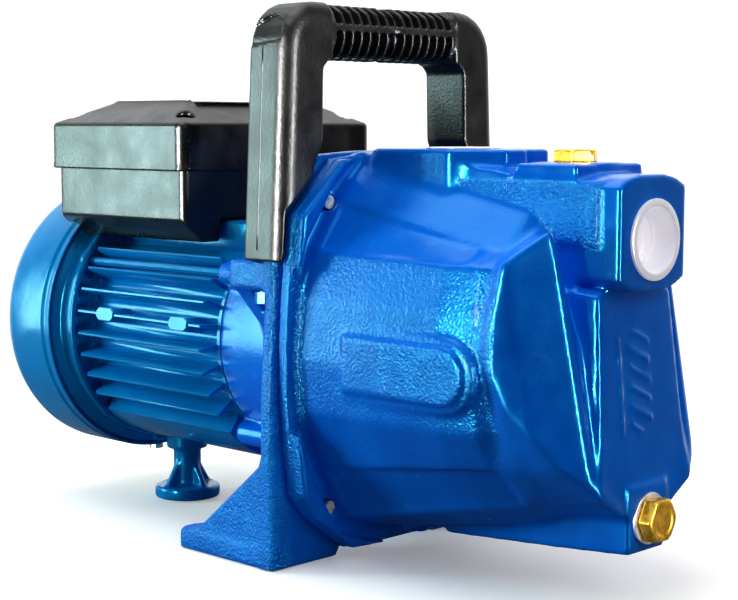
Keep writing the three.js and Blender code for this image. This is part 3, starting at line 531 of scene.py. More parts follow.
def turned_metal(name, dark, light, roughness, rings=0.35, streak=(1, 1, 1), metallic=1.0):
    """Machined or plated metal: tool marks across the axis given by streak, and handling stains."""
    n = Nodes(name)
    marks = n.noise(900, 2, 0.7, n.scaled(*streak))
    n.set(
        Base_Color=n.colours(n.noise(140, 5, 0.65), (0.28, dark), (0.7, light)),
        Metallic=metallic,
        Roughness=n.between(n.noise(220, 4, 0.6), 0.3, 0.7, roughness - 0.07, roughness + 0.1),
        Normal=n.bump(marks, 0.0001, rings),
    )
    return n.material


def laminations():
    """Stacked electrical sheet, varnished: fine bands along the shaft."""
    n = Nodes("lamination_stack")
    bands = n.add("ShaderNodeTexWave", {"bands_direction": "X"}, Vector=n.place, Scale=320.0)
    n.set(
        Base_Color=n.colours(n.noise(80, 4), (0.3, (0.10, 0.10, 0.11)), (0.7, (0.24, 0.24, 0.25))),
        Metallic=1.0,
        Roughness=n.between(n.noise(100, 3), 0.3, 0.7, 0.35, 0.55),
        Normal=n.bump(bands.outputs["Fac"], 0.0002, 0.8),
    )
    return n.material


def enamelled_wire():
    """Bundled copper wire under varnish."""
    n = Nodes("winding_wire")
    strands = n.noise(500, 3, 0.6, n.scaled(0.25, 1, 1))
    n.set(
        Base_Color=n.colours(strands, (0.3, (0.28, 0.09, 0.03)), (0.7, (0.62, 0.26, 0.09))),
        Metallic=1.0,
        Roughness=n.between(n.noise(120, 3), 0.3, 0.7, 0.25, 0.45),
        Normal=n.bump(strands, 0.0006, 0.9),
    )
    return n.material


def milky_cap():
    """Translucent polyethylene cap, with a faint painted glow standing in for the light it scatters."""
    n = Nodes("cap_polyethylene")
    n.set(
        Base_Color=n.colours(n.noise(90, 3), (0.3, (0.86, 0.86, 0.92)), (0.7, (0.95, 0.93, 0.97))),
        Roughness=n.between(n.noise(200, 3), 0.3, 0.7, 0.25, 0.4),
        # painted glow: this emission lights the cap up though it is no lamp, in place of light scattered
        # through the plastic
        Emission_Color=(0.9, 0.86, 0.92, 1),
        Emission_Strength=0.16,
        Subsurface_Weight=0.35,
        Subsurface_Radius=(0.004, 0.004, 0.006),
        Normal=n.bump(n.noise(350, 3), 0.0002, 0.3),
    )
    return n.material


MATERIALS = {
    "cast_blue": cast_paint(),
    "frame_blue": smooth_paint("frame_blue_enamel", 260, 0.0002),
    "sheet_blue": smooth_paint("sheet_blue_enamel", 120, 0.00025),
    "handle_plastic": moulded("handle_polypropylene", (0.005, 0.005, 0.0055), (0.011, 0.0115, 0.012), 0.36),
    "box_plastic": moulded("box_abs", (0.004, 0.0045, 0.0045), (0.009, 0.0095, 0.0095), 0.3, 1200, 0.0001),
    "fan_plastic": moulded("fan_polyamide", (0.02, 0.021, 0.022), (0.045, 0.046, 0.05), 0.5),
    "cap_plastic": milky_cap(),
    "brass": turned_metal(
        "machined_brass", (0.88, 0.45, 0.03), (1.0, 0.58, 0.07), 0.27, 0.4, (0.3, 1, 1), metallic=0.65,
    ),
    "washer_aluminium": turned_metal("plain_aluminium", (0.45, 0.45, 0.46), (0.7, 0.7, 0.71), 0.38),
    "steel": turned_metal("ground_steel", (0.42, 0.43, 0.44), (0.62, 0.63, 0.64), 0.26),
    "zinc": turned_metal("zinc_plate", (0.36, 0.37, 0.40), (0.62, 0.62, 0.60), 0.3),
    "lamination": laminations(),
    "copper": enamelled_wire(),
    "rubber": moulded("nitrile_rubber", (0.012, 0.012, 0.012), (0.03, 0.03, 0.03), 0.65),
    "seal_ceramic": moulded("seal_carbon", (0.03, 0.031, 0.033), (0.08, 0.082, 0.085), 0.3),
}

for part in frame["record"]["subparts"]:
    kept = NODES[part["node"]]
    kept.data.materials.clear()
    kept.data.materials.append(MATERIALS[part["material_slot"]])


# ---------------------------------------------------------------- camera, floor and lights
def camera():
    data = bpy.data.cameras.new("camera")
    view = bpy.data.objects.new("camera", data)
    bpy.context.scene.collection.objects.link(view)
    view.location = (0.6142, -0.6134, 0.2176)
    view.rotation_euler = (math.radians(90 - 5.963), math.radians(-0.06), math.radians(44.1))
    data.lens = 80.25
    data.sensor_width = 36
    data.shift_x, data.shift_y = -0.0037, -0.0022
    bpy.context.scene.camera = view


def floor():
    """A pale sheet that fades out into the white background well away from the pump."""
    n = Nodes("pale_floor")
    lit = n.colours(n.noise(4, 3), (0.3, (0.97, 0.94, 0.90)), (0.7, (0.99, 0.96, 0.93)))
    seen = n.add("ShaderNodeLightPath").outputs["Is Camera Ray"]
    tone = n.add("ShaderNodeMix", {"data_type": "RGBA"}, Factor=seen)
    colours = [socket for socket in tone.inputs if socket.type == "RGBA"]
    colours[0].default_value = (0.14, 0.145, 0.15, 1)
    n.wire(colours[1], lit)
    n.set(
        Base_Color=next(socket for socket in tone.outputs if socket.type == "RGBA"),
        Roughness=n.between(n.noise(30, 3), 0.3, 0.7, 0.6, 0.75),
        Normal=n.bump(n.noise(200, 3), 0.0002, 0.2),
        Specular_IOR_Level=0.2,
        Emission_Color=(1, 0.98, 0.95, 1),
        Emission_Strength=n.maths("MULTIPLY", seen, 0.2),
    )
    distance = n.add("ShaderNodeVectorMath", {"operation": "LENGTH"}, Vector=n.place).outputs["Value"]
    n.set(Alpha=n.between(distance, 0.34, 0.8, 1.0, 0.0))
    bm = bmesh.new()
    bmesh.ops.create_circle(bm, cap_ends=True, segments=96, radius=1.1)
    mesh = bpy.data.meshes.new("floor")
    bm.to_mesh(mesh)
    bm.free()
    mesh.materials.append(n.material)
    piece = bpy.data.objects.new("floor", mesh)
    piece.location.z = cad_low.z - 0.0002
    bpy.context.scene.collection.objects.link(piece)


def area_light(name, place, target, size, power, colour=(1, 1, 1), gloss_only=False):
    data = bpy.data.lights.new(name, "AREA")
    data.shape = "RECTANGLE"
    data.size, data.size_y = size
    data.energy = power
    data.color = colour
    light = bpy.data.objects.new(name, data)
    light.visible_diffuse = not gloss_only
    bpy.context.scene.collection.objects.link(light)
    light.location = place
    light.rotation_euler = (Vector(target) - Vector(place)).to_track_quat("-Z", "Y").to_euler()


def sky():
    """White behind the pump; what it mirrors is a white backdrop, a dim ceiling and a dark room in front."""
    world = bpy.data.worlds.new("studio")
    world.use_nodes = True
    tree = world.node_tree
    background = tree.nodes["Background"]
    direction = tree.nodes.new("ShaderNodeTexCoord").outputs["Generated"]

    def level(towards, low, high, dim, bright):
        dot = tree.nodes.new("ShaderNodeVectorMath")
        dot.operation = "DOT_PRODUCT"
        tree.links.new(direction, dot.inputs[0])
        dot.inputs[1].default_value = towards
        ramp = tree.nodes.new("ShaderNodeMapRange")
        ramp.interpolation_type = "SMOOTHSTEP"
        tree.links.new(dot.outputs["Value"], ramp.inputs["Value"])
        for key, number in (("From Min", low), ("From Max", high), ("To Min", dim), ("To Max", bright)):
            ramp.inputs[key].default_value = number
        return ramp.outputs["Result"]

    total = tree.nodes.new("ShaderNodeMath")
    total.operation = "MAXIMUM"
    tree.links.new(level((-0.7, 0.7, 0.1), 0.0, 0.75, 0.03, 1.2), total.inputs[0])
    tree.links.new(level((0, 0, 1), 0.1, 0.9, 0.0, 0.3), total.inputs[1])
    choose = tree.nodes.new("ShaderNodeMix")
    seen = tree.nodes.new("ShaderNodeLightPath").outputs["Is Camera Ray"]
    tree.links.new(seen, choose.inputs["Factor"])
    tree.links.new(total.outputs["Value"], choose.inputs["A"])
    choose.inputs["B"].default_value = 1.0
    tree.links.new(choose.outputs["Result"], background.inputs["Strength"])
    background.inputs["Color"].default_value = (0.98, 0.99, 1.0, 1)
    bpy.context.scene.world = world


def studio():
    sky()
    bpy.context.scene.view_settings.view_transform = "Standard"
    bpy.context.scene.view_settings.look = "Medium High Contrast"
    area_light("overhead", (-0.05, -0.2, 1.1), (0.02, -0.02, 0.12), (0.9, 0.7), 5.5)
    area_light("left_box", (-0.84, -0.72, 0.24), (0, 0, 0.16), (0.36, 0.6), 8.6, (0.68, 1.0, 0.98))
    area_light("right_fill", (1.15, -0.15, 0.75), (0.02, -0.02, 0.1), (0.8, 0.8), 3.2)
    area_light("side_strip", (-0.03, -1.04, 0.1), (0.1, 0, 0.12), (0.06, 0.8), 45, (1, 1, 1), True)
    area_light("right_strip", (1.1, 0.05, 0.12), (0.15, 0, 0.1), (0.06, 0.7), 24, (1, 1, 1), True)


# ---------------------------------------------------------------- the casing's pieces
def casing_grain(x, y, z):
    """How raw the cast skin is: rough side pads, neck and flange edges, faint flanks, dressed elsewhere."""
    ay = np.abs(y)
    flank = step(ay, 55, 6) * step(-x, 50, 6) * step(54 - z, 4, 6) * step(z + 48, 4, 10) * step(x, -150, 3)
    pad = step(ay, 72.6, 0.6) * step(x, -100, 20)
    ridge = between(x, -52, -38) * step(ay, 48, 6) * between(z, -40, 50)
    neck = between(ay, 22, 28) * step(z, 58, 4) * step(90 - z, 3, 3) * step(-x, 10, 6)
    rim = step(ay, 69, 5) * step(-x, 151.5, 1.5)
    return 0.05 + np.maximum.reduce([0.22 * flank, 0.7 * pad, 0.4 * ridge, 0.8 * neck, 0.8 * rim])


def between(value, low, high):
    return step(value, low, 1.5) * step(-value, -high, 1.5)


BAR_PITCH, BAR_SLANT = 8.8, 0.45


def plate_relief(g, whole):
    """A plain raised pattern on the front plate: a column of slanted bars beside an upright rule."""
    y = g.low[1] + g.step * np.arange(whole.shape[1])[None, :, None]
    rule = common(np.abs(y + 15) - 0.7, slab(g.z, -26, 18))
    bars = np.abs((g.z + y * BAR_SLANT + 30) % BAR_PITCH - BAR_PITCH / 2) - 1.2
    bars = common(bars, slab(y, -8, 8), slab(g.z, -26, 20))
    face = outline_field(g.x, g.z, [(-1.7, -52), (-9.6, 37), (-20, 37), (-20, -52)])
    return common(union(rule, bars), face - 0.7, -(whole + 4))


def flange_rim():
    """The flange's edge, turned all round it as a crisp strip with a broken corner on each side."""
    loop = np.array([*FLANGE_OUTLINE, *[(-y, z) for y, z in FLANGE_OUTLINE[-2:0:-1]]], float)
    along = np.roll(loop, -1, 0) - np.roll(loop, 1, 0)
    out = np.stack([-along[:, 1], along[:, 0]], 1) / np.hypot(*along.T)[:, None]
    section = [(1.0, -3), (1.0, -0.9), (1.5, 0), (2.1, 0.35), (6.4, 0.35), (7, 0), (7.5, -0.9), (7.5, -3)]
    rows = [
        [(JOINT_X + x, y + u * proud, z + v * proud) for x, proud in section]
        for (y, z), (u, v) in zip(loop, out)
    ]
    vertices, faces = tube_mesh(rows)
    piece = new_mesh("casing_flange_rim", vertices, faces, "pump", MATERIALS["cast_blue"], sharp_angle=60)
    tidy(piece)
    layer = piece.data.attributes.new("grain", "FLOAT", "POINT")
    layer.data.foreach_set("value", [0.5] * len(piece.data.vertices))


def build_casing():
    g = casing_grid()
    half = minus(casing_field(g), *casing_cuts(g))
    whole = mirror_y(half)
    whole = union(whole, plate_relief(g, whole))
    piece = cast_piece("casing_casting", g, whole, "pump", MATERIALS["cast_blue"], casing_grain)
    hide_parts("pump_casing")
    flange_rim()


# ---------------------------------------------------------------- bracket between pump and motor
BRACKET_OUTLINE = [
    (0, 99.5), (20, 99.5), (46, 98), (74.5, 71), (77.2, 38), (80.2, 5), (81.7, -20), (82, -45), (81.2, -66),
    (80.6, -106), (37, -106), (30, -97), (0, -97),
]
TIE_ANGLES = [33, -49]
TIE_RADIUS = 65.5
BRACKET_STEP = 1.15


def polar(radius, angle):
    return radius * math.cos(math.radians(angle)), radius * math.sin(math.radians(angle))


def bracket_grid():
    return Grid((-236, -73 * BRACKET_STEP, -107.5), (-162.5, 0, 101), BRACKET_STEP)


def bracket_field(g):
    ay = np.abs(g.y)
    radius = np.hypot(g.y, g.z)
    plate = common(outline_field(ay[0], g.z[0], BRACKET_OUTLINE)[None], slab(g.x, -172.5, -164.2))
    lantern = outline_field(g.x, radius, [
        (-166, -1), (-166, 68), (-186, 62), (-208, 61), (-227.7, 59.6), (-227.7, -1),
    ])
    lug = outline_field(ay, g.z, [(48, 14), (62, 28), (77, 32), (77, 46.2), (48, 46.2)])
    lug = common(lug, slab(g.x, -200, -168))
    web_outline = outline_field(g.x, g.z, [(-168, 34), (-199, 34), (-199, 26), (-176, -8), (-168, -8)])
    web = common(web_outline, (ay - 68) - (g.z - 20) * 0.35, 50 - ay)
    foot_side = outline_field(g.x, g.z, [
        (-166, -106), (-234.5, -106), (-234.5, -95), (-219, -91), (-172, -52), (-166, -52),
    ])
    foot_side = common(foot_side, slab(ay, 71, 80.6))
    sole = common(slab(g.x, -234.5, -166), slab(ay, 37, 80.6), slab(g.z, -106, -97))
    inner_rib = outline_field(g.x, g.z, [(-166, -100), (-222, -100), (-172, -62), (-166, -62)])
    inner_rib = common(inner_rib, slab(ay, 38, 44))
    body = weld(plate, lantern, 6)
    body = weld(body, lug, 3)
    body = weld(body, web, 4)
    body = weld(body, foot_side, 3)
    body = weld(body, sole, 3)
    body = weld(body, inner_rib, 3)
    for angle in TIE_ANGLES:
        boss = common(disc_field(ay, g.z, 6.5, polar(TIE_RADIUS, angle)), slab(g.x, -227.7, -200))
        body = weld(body, boss, 3)
    return soften(body, 2)


def bracket_cuts(g):
    ay = np.abs(g.y)
    radius = np.hypot(g.y, g.z)
    chamber = common(radius - 54, 26 - radius, -178 - g.x)
    hub = common(radius - 30, -176.2 - g.x)
    seal = common(radius - 15.3, slab(g.x, -187, -168))
    shaft_way = common(radius - 10, slab(g.x, -222, -150))
    lantern = common(radius - 56, slab(g.x, -201, -186))
    windows = common(slab(g.y, -18, 18), slab(g.x, -200, -186), 40 - np.abs(g.z), radius - 80)
    bearing = common(radius - 17.9, g.x + 208.2)
    register = common(radius - 50, 24 - radius, g.x + 212)
    foot_bolt = common(disc_field(g.x, ay, 5, (-222, 62)), g.z + 80)
    ties = [common(disc_field(ay, g.z, 2.9, polar(TIE_RADIUS, angle)), g.x + 211) for angle in TIE_ANGLES]
    flange_bolts = [disc_field(ay, g.z, 4.5, (BOLT_Y, z)) for z in BOLT_Z]
    handle_screw = common(disc_field(g.x, ay, 3.2, (-180, 70.5)), slab(g.z, 20, 50))
    handle_head = common(disc_field(g.x, ay, 6, (-180, 70.5)), slab(g.z, 20, 31), 66 - ay)
    return [
        chamber, hub, seal, shaft_way, lantern, windows, bearing, register, foot_bolt, *ties, *flange_bolts,
        handle_screw, handle_head,
    ]


def bracket_grain(x, y, z):
    ay = np.abs(y)
    strip = step(ay, 70, 5) * step(x, -174, 2)
    lug = step(ay, 60, 5) * step(z, 26, 6) * 0.7
    foot = step(ay, 74, 3) * step(-z, 45, 10)
    return 0.08 + 0.85 * np.maximum(strip, np.maximum(lug, foot))


def build_bracket():
    g = bracket_grid()
    half = minus(bracket_field(g), *bracket_cuts(g))
    half = np.maximum(half, -(g.z + 106))
    piece = cast_piece("bracket_casting", g, mirror_y(half), "pump", MATERIALS["cast_blue"], bracket_grain)
    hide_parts("motor_bracket")


# ---------------------------------------------------------------- meshes from sections
def tube_mesh(sections, closed=True):
    """Faces through rows of equally many points, each a loop; closed joins the last row to the first."""
    rows, count = len(sections), len(sections[0])
    vertices = [p for row in sections for p in row]
    faces = []
    for i in range(rows if closed else rows - 1):
        for j in range(count):
            a, b = i * count + j, i * count + (j + 1) % count
            c, d = ((i + 1) % rows) * count + (j + 1) % count, ((i + 1) % rows) * count + j
            faces.append((a, b, c, d))
    return vertices, faces


def lathe(name, profile, axis, centre, body="pump", material=None, segments=96, sharp=32):
    """A ring or solid of revolution; the profile is closed, in (distance along the axis, radius)."""
    rows = []
    for s in range(segments):
        c, d = math.cos(2 * math.pi * s / segments), math.sin(2 * math.pi * s / segments)
        if axis == "X":
            rows.append([(a, centre[0] + r * c, centre[1] + r * d) for a, r in profile])
        elif axis == "Z":
            rows.append([(centre[0] + r * c, centre[1] + r * d, a) for a, r in profile])
        else:
            rows.append([(centre[0] + r * c, a, centre[1] + r * d) for a, r in profile])
    vertices, faces = tube_mesh(rows)
    piece = new_mesh(name, vertices, faces, body, material, sharp_angle=sharp)
    tidy(piece)
    return piece


def tidy(piece):
    """Welds doubled points, such as those on a lathe's axis, and turns the faces outward."""
    bm = bmesh.new()
    bm.from_mesh(piece.data)
    bmesh.ops.remove_doubles(bm, verts=bm.verts, dist=1e-6)
    bmesh.ops.dissolve_degenerate(bm, edges=bm.edges, dist=1e-7)
    bmesh.ops.recalc_face_normals(bm, faces=bm.faces)
    bm.to_mesh(piece.data)
    bm.free()


# ---------------------------------------------------------------- finned motor frame
WALL_R, FRAME_BORE, FIN_TIP = 57.5, 53.3, 70
FIN_PITCH = 10.4  # degrees
FIN_ANGLES = [38.4 - FIN_PITCH * i for i in range(8)]
FRAME_REAR, FRAME_FRONT = -342, -228
FLAT_Z = -66.5
PAD_X, PAD_FIN = (-312, -249), 3


def fin_points(angle):
    """One fin's outline, up its upper side last: root fillet, tapered sides and a rounded tip."""
    along, across = polar(1, angle), polar(1, angle + 90)
    shape = [(WALL_R, -2.6), (58.6, -1.5), (61, -1.25), (69.2, -0.95), (69.9, -0.5)]
    shape = [*shape, *[(r, -w) for r, w in shape[::-1]]]
    return [(along[0] * r + across[0] * w, along[1] * r + across[1] * w) for r, w in shape]


def frame_outline():
    """Right half from the bottom middle up to the top, [y, z], then its mirror image."""
    flat_edge = math.degrees(math.acos(-FLAT_Z / FIN_TIP))
    half = [(0, FLAT_Z), (12, FLAT_Z)]
    half += [polar(FIN_TIP, a) for a in np.linspace(-90 + flat_edge, -45, 8)]
    half += [polar(WALL_R + 1, -42.5), polar(WALL_R, -41)]
    for angle in FIN_ANGLES[::-1]:
        half += fin_points(angle)
        half += [polar(WALL_R, angle + 5.2)]
    half += [polar(WALL_R, a) for a in (47, 52)]
    half += [(36, 47.5), (36, 60.4), (35, 61.4), (0, 61.4)]
    return [*half, *[(-y, z) for y, z in half[-2:0:-1]]]


def build_motor_frame():
    outer = frame_outline()
    bore = [(FRAME_BORE * y / math.hypot(y, z), FRAME_BORE * z / math.hypot(y, z)) for y, z in outer]
    shrink = [(y * (1 - 0.7 / math.hypot(y, z)), z * (1 - 0.7 / math.hypot(y, z))) for y, z in outer]
    fin_rear, fin_front = FRAME_REAR + 4, FRAME_FRONT - 3
    ends = [(fin_rear, shrink), (fin_rear + 0.8, outer), (fin_front - 0.8, outer), (fin_front, shrink)]
    sections = [[(x, y, z) for y, z in outline] for x, outline in ends]
    sections += [[(x, y, z) for y, z in bore] for x in (fin_front, fin_rear)]
    vertices, faces = tube_mesh(sections)
    body = new_mesh("finned_frame", vertices, faces, "pump", MATERIALS["frame_blue"], sharp_angle=40)
    tidy(body)
    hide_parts("motor_frame")
    collars = [(FRAME_REAR, fin_rear + 0.1, "rear"), (fin_front - 0.1, FRAME_FRONT, "front")]
    for x0, x1, name in collars:
        profile = [
            (x0, FRAME_BORE), (x0, WALL_R + 0.6), (x0 + 0.6, WALL_R + 1.2), (x1 - 0.3, WALL_R + 1.2),
            (x1, FRAME_BORE),
        ]
        rim = lathe(f"frame_collar_{name}", profile, "X", (0, 0), "pump", MATERIALS["frame_blue"], 96, 30)
    angle = 180 - FIN_ANGLES[PAD_FIN]
    along, across = polar(1, angle), polar(1, angle + 90)
    for i, x in enumerate(PAD_X):
        octagon = [
            (-8, -1.6), (-5.6, -3.7), (5.6, -3.7), (8, -1.6), (8, 1.6), (5.6, 3.7), (-5.6, 3.7), (-8, 1.6),
        ]
        rows = []
        for r, scale in ((WALL_R - 1, 1.05), (69.9, 1.0), (70.6, 0.9)):
            rows.append([
                (x + u * scale, along[0] * r + across[0] * v * scale, along[1] * r + across[1] * v * scale)
                for u, v in octagon
            ])
        vertices, faces = tube_mesh(rows, closed=False)
        faces += [tuple(range(8)), tuple(range(16, 24))]
        pad = new_mesh(f"frame_pad_{i + 1}", vertices, faces, "pump", MATERIALS["frame_blue"], sharp_angle=20)
        tidy(pad)


# ---------------------------------------------------------------- fan cover and rear shield
def fan_cover_rim():
    """The sheet's outer face from the rolled front rim back to the corner of the rear face, (x, radius)."""
    corner = [math.radians(a) for a in range(15, 91, 15)]
    return [
        (-352.4, 77.9), (-352.6, 78.5), (-353.4, 78.8), (-354.4, 78.5), (-355, 78.0), (-358.4, 78.0),
        (-359.2, 78.4), (-360, 78.8), (-361, 78.8), (-376, 78.8), (-388, 78.8),
        *[(-388.3 - 10 * math.sin(a), 68.8 + 10 * math.cos(a)) for a in corner],
    ]


def build_fan_cover():
    rear_rows = [66, 62, 54, 42, 38, 28, 18, 12, 7, 0.01]
    profile = [*fan_cover_rim(), *[(-398.3, r) for r in rear_rows]]
    columns = 192
    vertices, faces = [], []
    for s in range(columns):
        c, d = math.cos(2 * math.pi * s / columns), math.sin(2 * math.pi * s / columns)
        vertices += [(x, r * c, r * d) for x, r in profile]
    count = len(profile)
    for s in range(columns):
        for j in range(count - 1):
            outer_r, inner_r = profile[j][1], profile[j + 1][1]
            in_outer = 42 <= inner_r and outer_r <= 62 and s % 12 in (5, 6, 7)
            in_inner = 18 <= inner_r and outer_r <= 38 and s % 24 in (10, 11, 12, 13, 14)
            if in_outer or in_inner:
                continue
            n = (s + 1) % columns
            faces.append((s * count + j, n * count + j, n * count + j + 1, s * count + j + 1))
    piece = new_mesh("fan_cover_sheet", vertices, faces, "pump", MATERIALS["sheet_blue"], sharp_angle=50)
    tidy(piece)
    wall = piece.modifiers.new("sheet", "SOLIDIFY")
    wall.thickness = 1.5 * MM
    wall.offset = -1
    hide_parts("fan_cover")


def build_rear_shield():
    """Painted end shield: a ring behind the fins with a dark slot between every pair, and the bearing hub."""
    g = Grid((-360, -80, -80), (-337, 80, 80), 1.0)
    radius = np.hypot(g.y, g.z)
    angle = np.degrees(np.arctan2(g.z, np.abs(g.y)))
    plate = outline_field(g.x, radius, [
        (-354, 50), (-346, 46), (-346, 8), (-343, 8), (-342.4, 66), (-341, 69.5), (-341, 71), (-351, 71.5),
        (-353, 76.45), (-359, 76.45), (-359, 72),
    ])
    hub = outline_field(g.x, radius, [
        (-355, 9.2), (-355, 22), (-346, 24), (-339, 24), (-339, 18), (-352.8, 18), (-352.8, 9.2),
    ])
    body = union(plate, hub)
    near = (angle - FIN_ANGLES[0] - FIN_PITCH / 2) % FIN_PITCH - FIN_PITCH / 2
    slot = common(
        np.abs(near) * radius * math.pi / 180 - 3.3,
        slab(radius, 59.5, 67.5),
        slab(angle, -36, 36),
        -346 - g.x,
    )
    body = minus(body, slot)
    body = minus(body, common(radius - 17.6, slab(g.x, -352, -330)))
    for a in (0, 90, -90):
        along_y, along_z = polar(1, a)
        across = np.abs(along_y * g.z - along_z * g.y) - 5.5
        outward = along_y * g.y + along_z * g.z
        body = union(body, common(across, slab(outward, 54, 76.3), slab(g.x, -355.5, -349)))
    for a in TIE_ANGLES:
        centre = polar(TIE_RADIUS, a)
        boss = common(disc_field(np.abs(g.y), g.z, 6.5, centre), slab(g.x, -352, -342.5))
        body = minus(union(body, boss), disc_field(np.abs(g.y), g.z, 2.9, centre))
    piece = cast_piece("rear_shield_casting", g, soften(body, 1), "pump", MATERIALS["frame_blue"])
    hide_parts("rear_shield")


# ---------------------------------------------------------------- carry handle
HANDLE_STEP = 0.85
RIB_PITCH, RIB_WIDTH, RIB_DEPTH = 6.2, 2.1, 5.0


def build_handle():
    g = Grid((-189, -98 * HANDLE_STEP, 44.5), (-155, 0, 174), HANDLE_STEP)
    ay = np.abs(g.y)
    shoulder = arc(53, 149, 23, 90, 0, 7)
    legs = outline_field(ay[0], g.z[0], [
        (0, 172), *shoulder, (76, 149), (81, 46.5), (64, 46.5), (58, 92), (52.5, 104), (51.6, 140),
        (47.6, 144), (0, 144),
    ])[None]
    section = slab(g.x, -184.8, -157)
    leg = common(legs, section, 45 - ay)
    outer_face = outline_field(ay[0], g.z[0], [
        (-5, 172), (0, 172), *shoulder, (76, 149), (81.2, 40), (-5, 40),
    ])[None]
    front_round = -weld(-(g.x + 157), -outer_face, 8)
    rear_round = -weld(g.x + 184.8, -outer_face, 2.5)
    leg = common(leg, front_round, rear_round)
    grip_section = outline_field(g.x, g.z, [
        (-187, 162), (-187, 153), (-183, 146.5), (-176, 144), (-167, 144), (-160, 147), (-157.4, 153),
        (-157.2, 162), (-160, 168), (-167, 171.6), (-177, 172), (-184, 169),
    ])
    grip = common(grip_section, legs, -weld(-(g.x + 157), -outer_face, 10), -weld(g.x + 187, -outer_face, 8))
    in_slot = RIB_PITCH / 2 - RIB_WIDTH / 2 - np.abs((ay % RIB_PITCH) - RIB_PITCH / 2)
    upper = common(-in_slot, 161 - g.z, ay - 62)
    lower = common(-in_slot, g.z - 158, ay - 50)
    slots = common(union(upper, lower), -(grip_section + RIB_DEPTH))
    grip = minus(grip, slots)
    body = union(leg, grip)
    bracket = outline_field(ay[0], g.z[0], [(y * 1.01, z * 1.01) for y, z in BRACKET_OUTLINE])[None]
    body = minus(body, common(bracket, -172.8 - g.x))
    recess = outline_field(g.x, g.z, [(-184, 150), (-163, 153), (-164, 163), (-176, 166), (-184, 160)])
    recess = common(recess, 62 - ay, -(outer_face + 1.6))
    body = minus(soften(body, 1), recess)
    screw = common(disc_field(g.x, ay, 3.2, (-180, 70.5)), g.z - 64)
    body = minus(body, screw)
    piece = cast_piece("handle_moulding", g, mirror_y(body), "pump", MATERIALS["handle_plastic"])
    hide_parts("carry_handle")
    for side, name in ((-1, "near"), (1, "far")):
        rows = []
        for z in np.linspace(52, 150, 12):
            half = 76 + (149 - z) * 5.2 / 109
            ridge = [(-175.3, -0.3), (-175.0, 0.02), (-174.5, 0.18), (-174.0, 0.02), (-173.7, -0.3)]
            rows.append([(x, side * (half + out), z) for x, out in ridge])
        vertices, faces = tube_mesh(rows, closed=False)
        faces += [tuple(range(5)), tuple(range(55, 60))]
        seam = new_mesh(f"handle_seam_{name}", vertices, faces, "pump", MATERIALS["handle_plastic"])
        tidy(seam)


# ---------------------------------------------------------------- terminal box and lid
LID = {"rear": -360.7, "front": -243.1, "half": 70.6, "low": 88.3, "side": 112.6, "top": 125.5}
BOX_INSET = 3.4
LID_SCREWS = [(x, y) for x in (LID["rear"] + 12, LID["front"] - 12) for y in (58, -58)]


def rounded_plan(g, rear, front, half, radius):
    """Signed distance to a rounded rectangle seen from above."""
    dx = np.abs(g.x - (rear + front) / 2) - (front - rear) / 2 + radius
    dy = np.abs(g.y) - half + radius
    return np.hypot(np.maximum(dx, 0), np.maximum(dy, 0)) + np.minimum(np.maximum(dx, dy), 0) - radius


def build_lid():
    rear, front, half = LID["rear"], LID["front"], LID["half"]
    g = Grid((rear - 1.5, -half - 1.5, LID["low"] - 1.5), (front + 1.5, half + 1.5, 125), 1.0)
    plan = rounded_plan(g, rear, front, half, 6.5)
    ay = np.abs(g.y)
    slope_y = (g.z - LID["side"]) - (half - ay) * 0.5
    slope_rear = (g.z - LID["side"]) - (g.x - rear) * 0.42
    slope_front = (g.z - LID["side"]) - (front - g.x) * 0.5
    top = common(slope_y * 0.92, slope_rear * 0.94, slope_front * 0.89, g.z - LID["top"])
    bead = common(plan, slab(g.z, LID["low"], LID["low"] + 2.6))
    outer = union(common(rounded(plan + 0.35, soften(top, 5), 1.6), LID["low"] - g.z), bead)
    inner = common(plan + 2.5, top + 3.0)
    body = minus(outer, inner)
    label = common(slab(g.x, -321.5, -262.5), slab(g.y, -43, 43), (LID["top"] - 1.1) - g.z)
    body = minus(body, label)
    notch = common(slab(g.x, LID["rear"] + 3, LID["rear"] + 6.2), slab(g.y, -64, -46), LID["side"] - 3 - g.z)
    body = minus(body, notch)
    for x, y in LID_SCREWS:
        body = minus(body, common(disc_field(g.x, g.y, 4.6, (x, y)), 112.6 - g.z))
        pillar = common(disc_field(g.x, g.y, 5.4, (x, y)), slab(g.z, 107, 112.6))
        body = minus(union(body, pillar), disc_field(g.x, g.y, 2.3, (x, y)))
    piece = cast_piece("lid_moulding", g, body, "pump", MATERIALS["box_plastic"])
    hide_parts("terminal_lid")


def build_box():
    rear, front, half = LID["rear"] + BOX_INSET, LID["front"] - BOX_INSET, LID["half"] - BOX_INSET
    g = Grid((rear - 1.5, -half - 1.5, 49), (front + 1.5, half + 1.5, 93), 1.0)
    ay = np.abs(g.y)
    plan = rounded_plan(g, rear, front, half, 4.5)
    skirt = outline_field(ay, g.z, [(-5, 93.5), (half, 93.5), (half, 62.7), (53, 50.6), (-5, 50.6)])
    outer = rounded(plan, skirt, 1.0)
    outer = common(outer, slab(g.z, 50.6, 92))
    outer = minus(outer, common(np.hypot(g.y, g.z) - 83, g.x + 350))
    body = minus(outer, common(ay - 41.5, g.z - 62.7))
    inner = common(rounded_plan(g, -347, front - 2.6, half - 2.6, 3), 65.4 - g.z)
    body = minus(body, inner)
    for x, y in LID_SCREWS:
        if x > -300:
            body = union(body, common(disc_field(g.x, g.y, 5, (x, y)), slab(g.z, 64, 92)))
        body = minus(body, common(disc_field(g.x, g.y, 2.4, (x, y)), 70 - g.z))
    body = minus(body, common(disc_field(g.x, g.y, 8, (-296, 0)), g.z - 70))
    body = minus(body, common(slab(g.x, -331.6, -304.4), 60 - g.y, slab(g.z, 67.4, 86.6)))
    body = minus(body, common(disc_field(g.x, g.z, 8.6, (-272, 77)), 60 - g.y))
    piece = cast_piece("box_moulding", g, soften(body, 1), "pump", MATERIALS["box_plastic"])
    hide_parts("terminal_box")


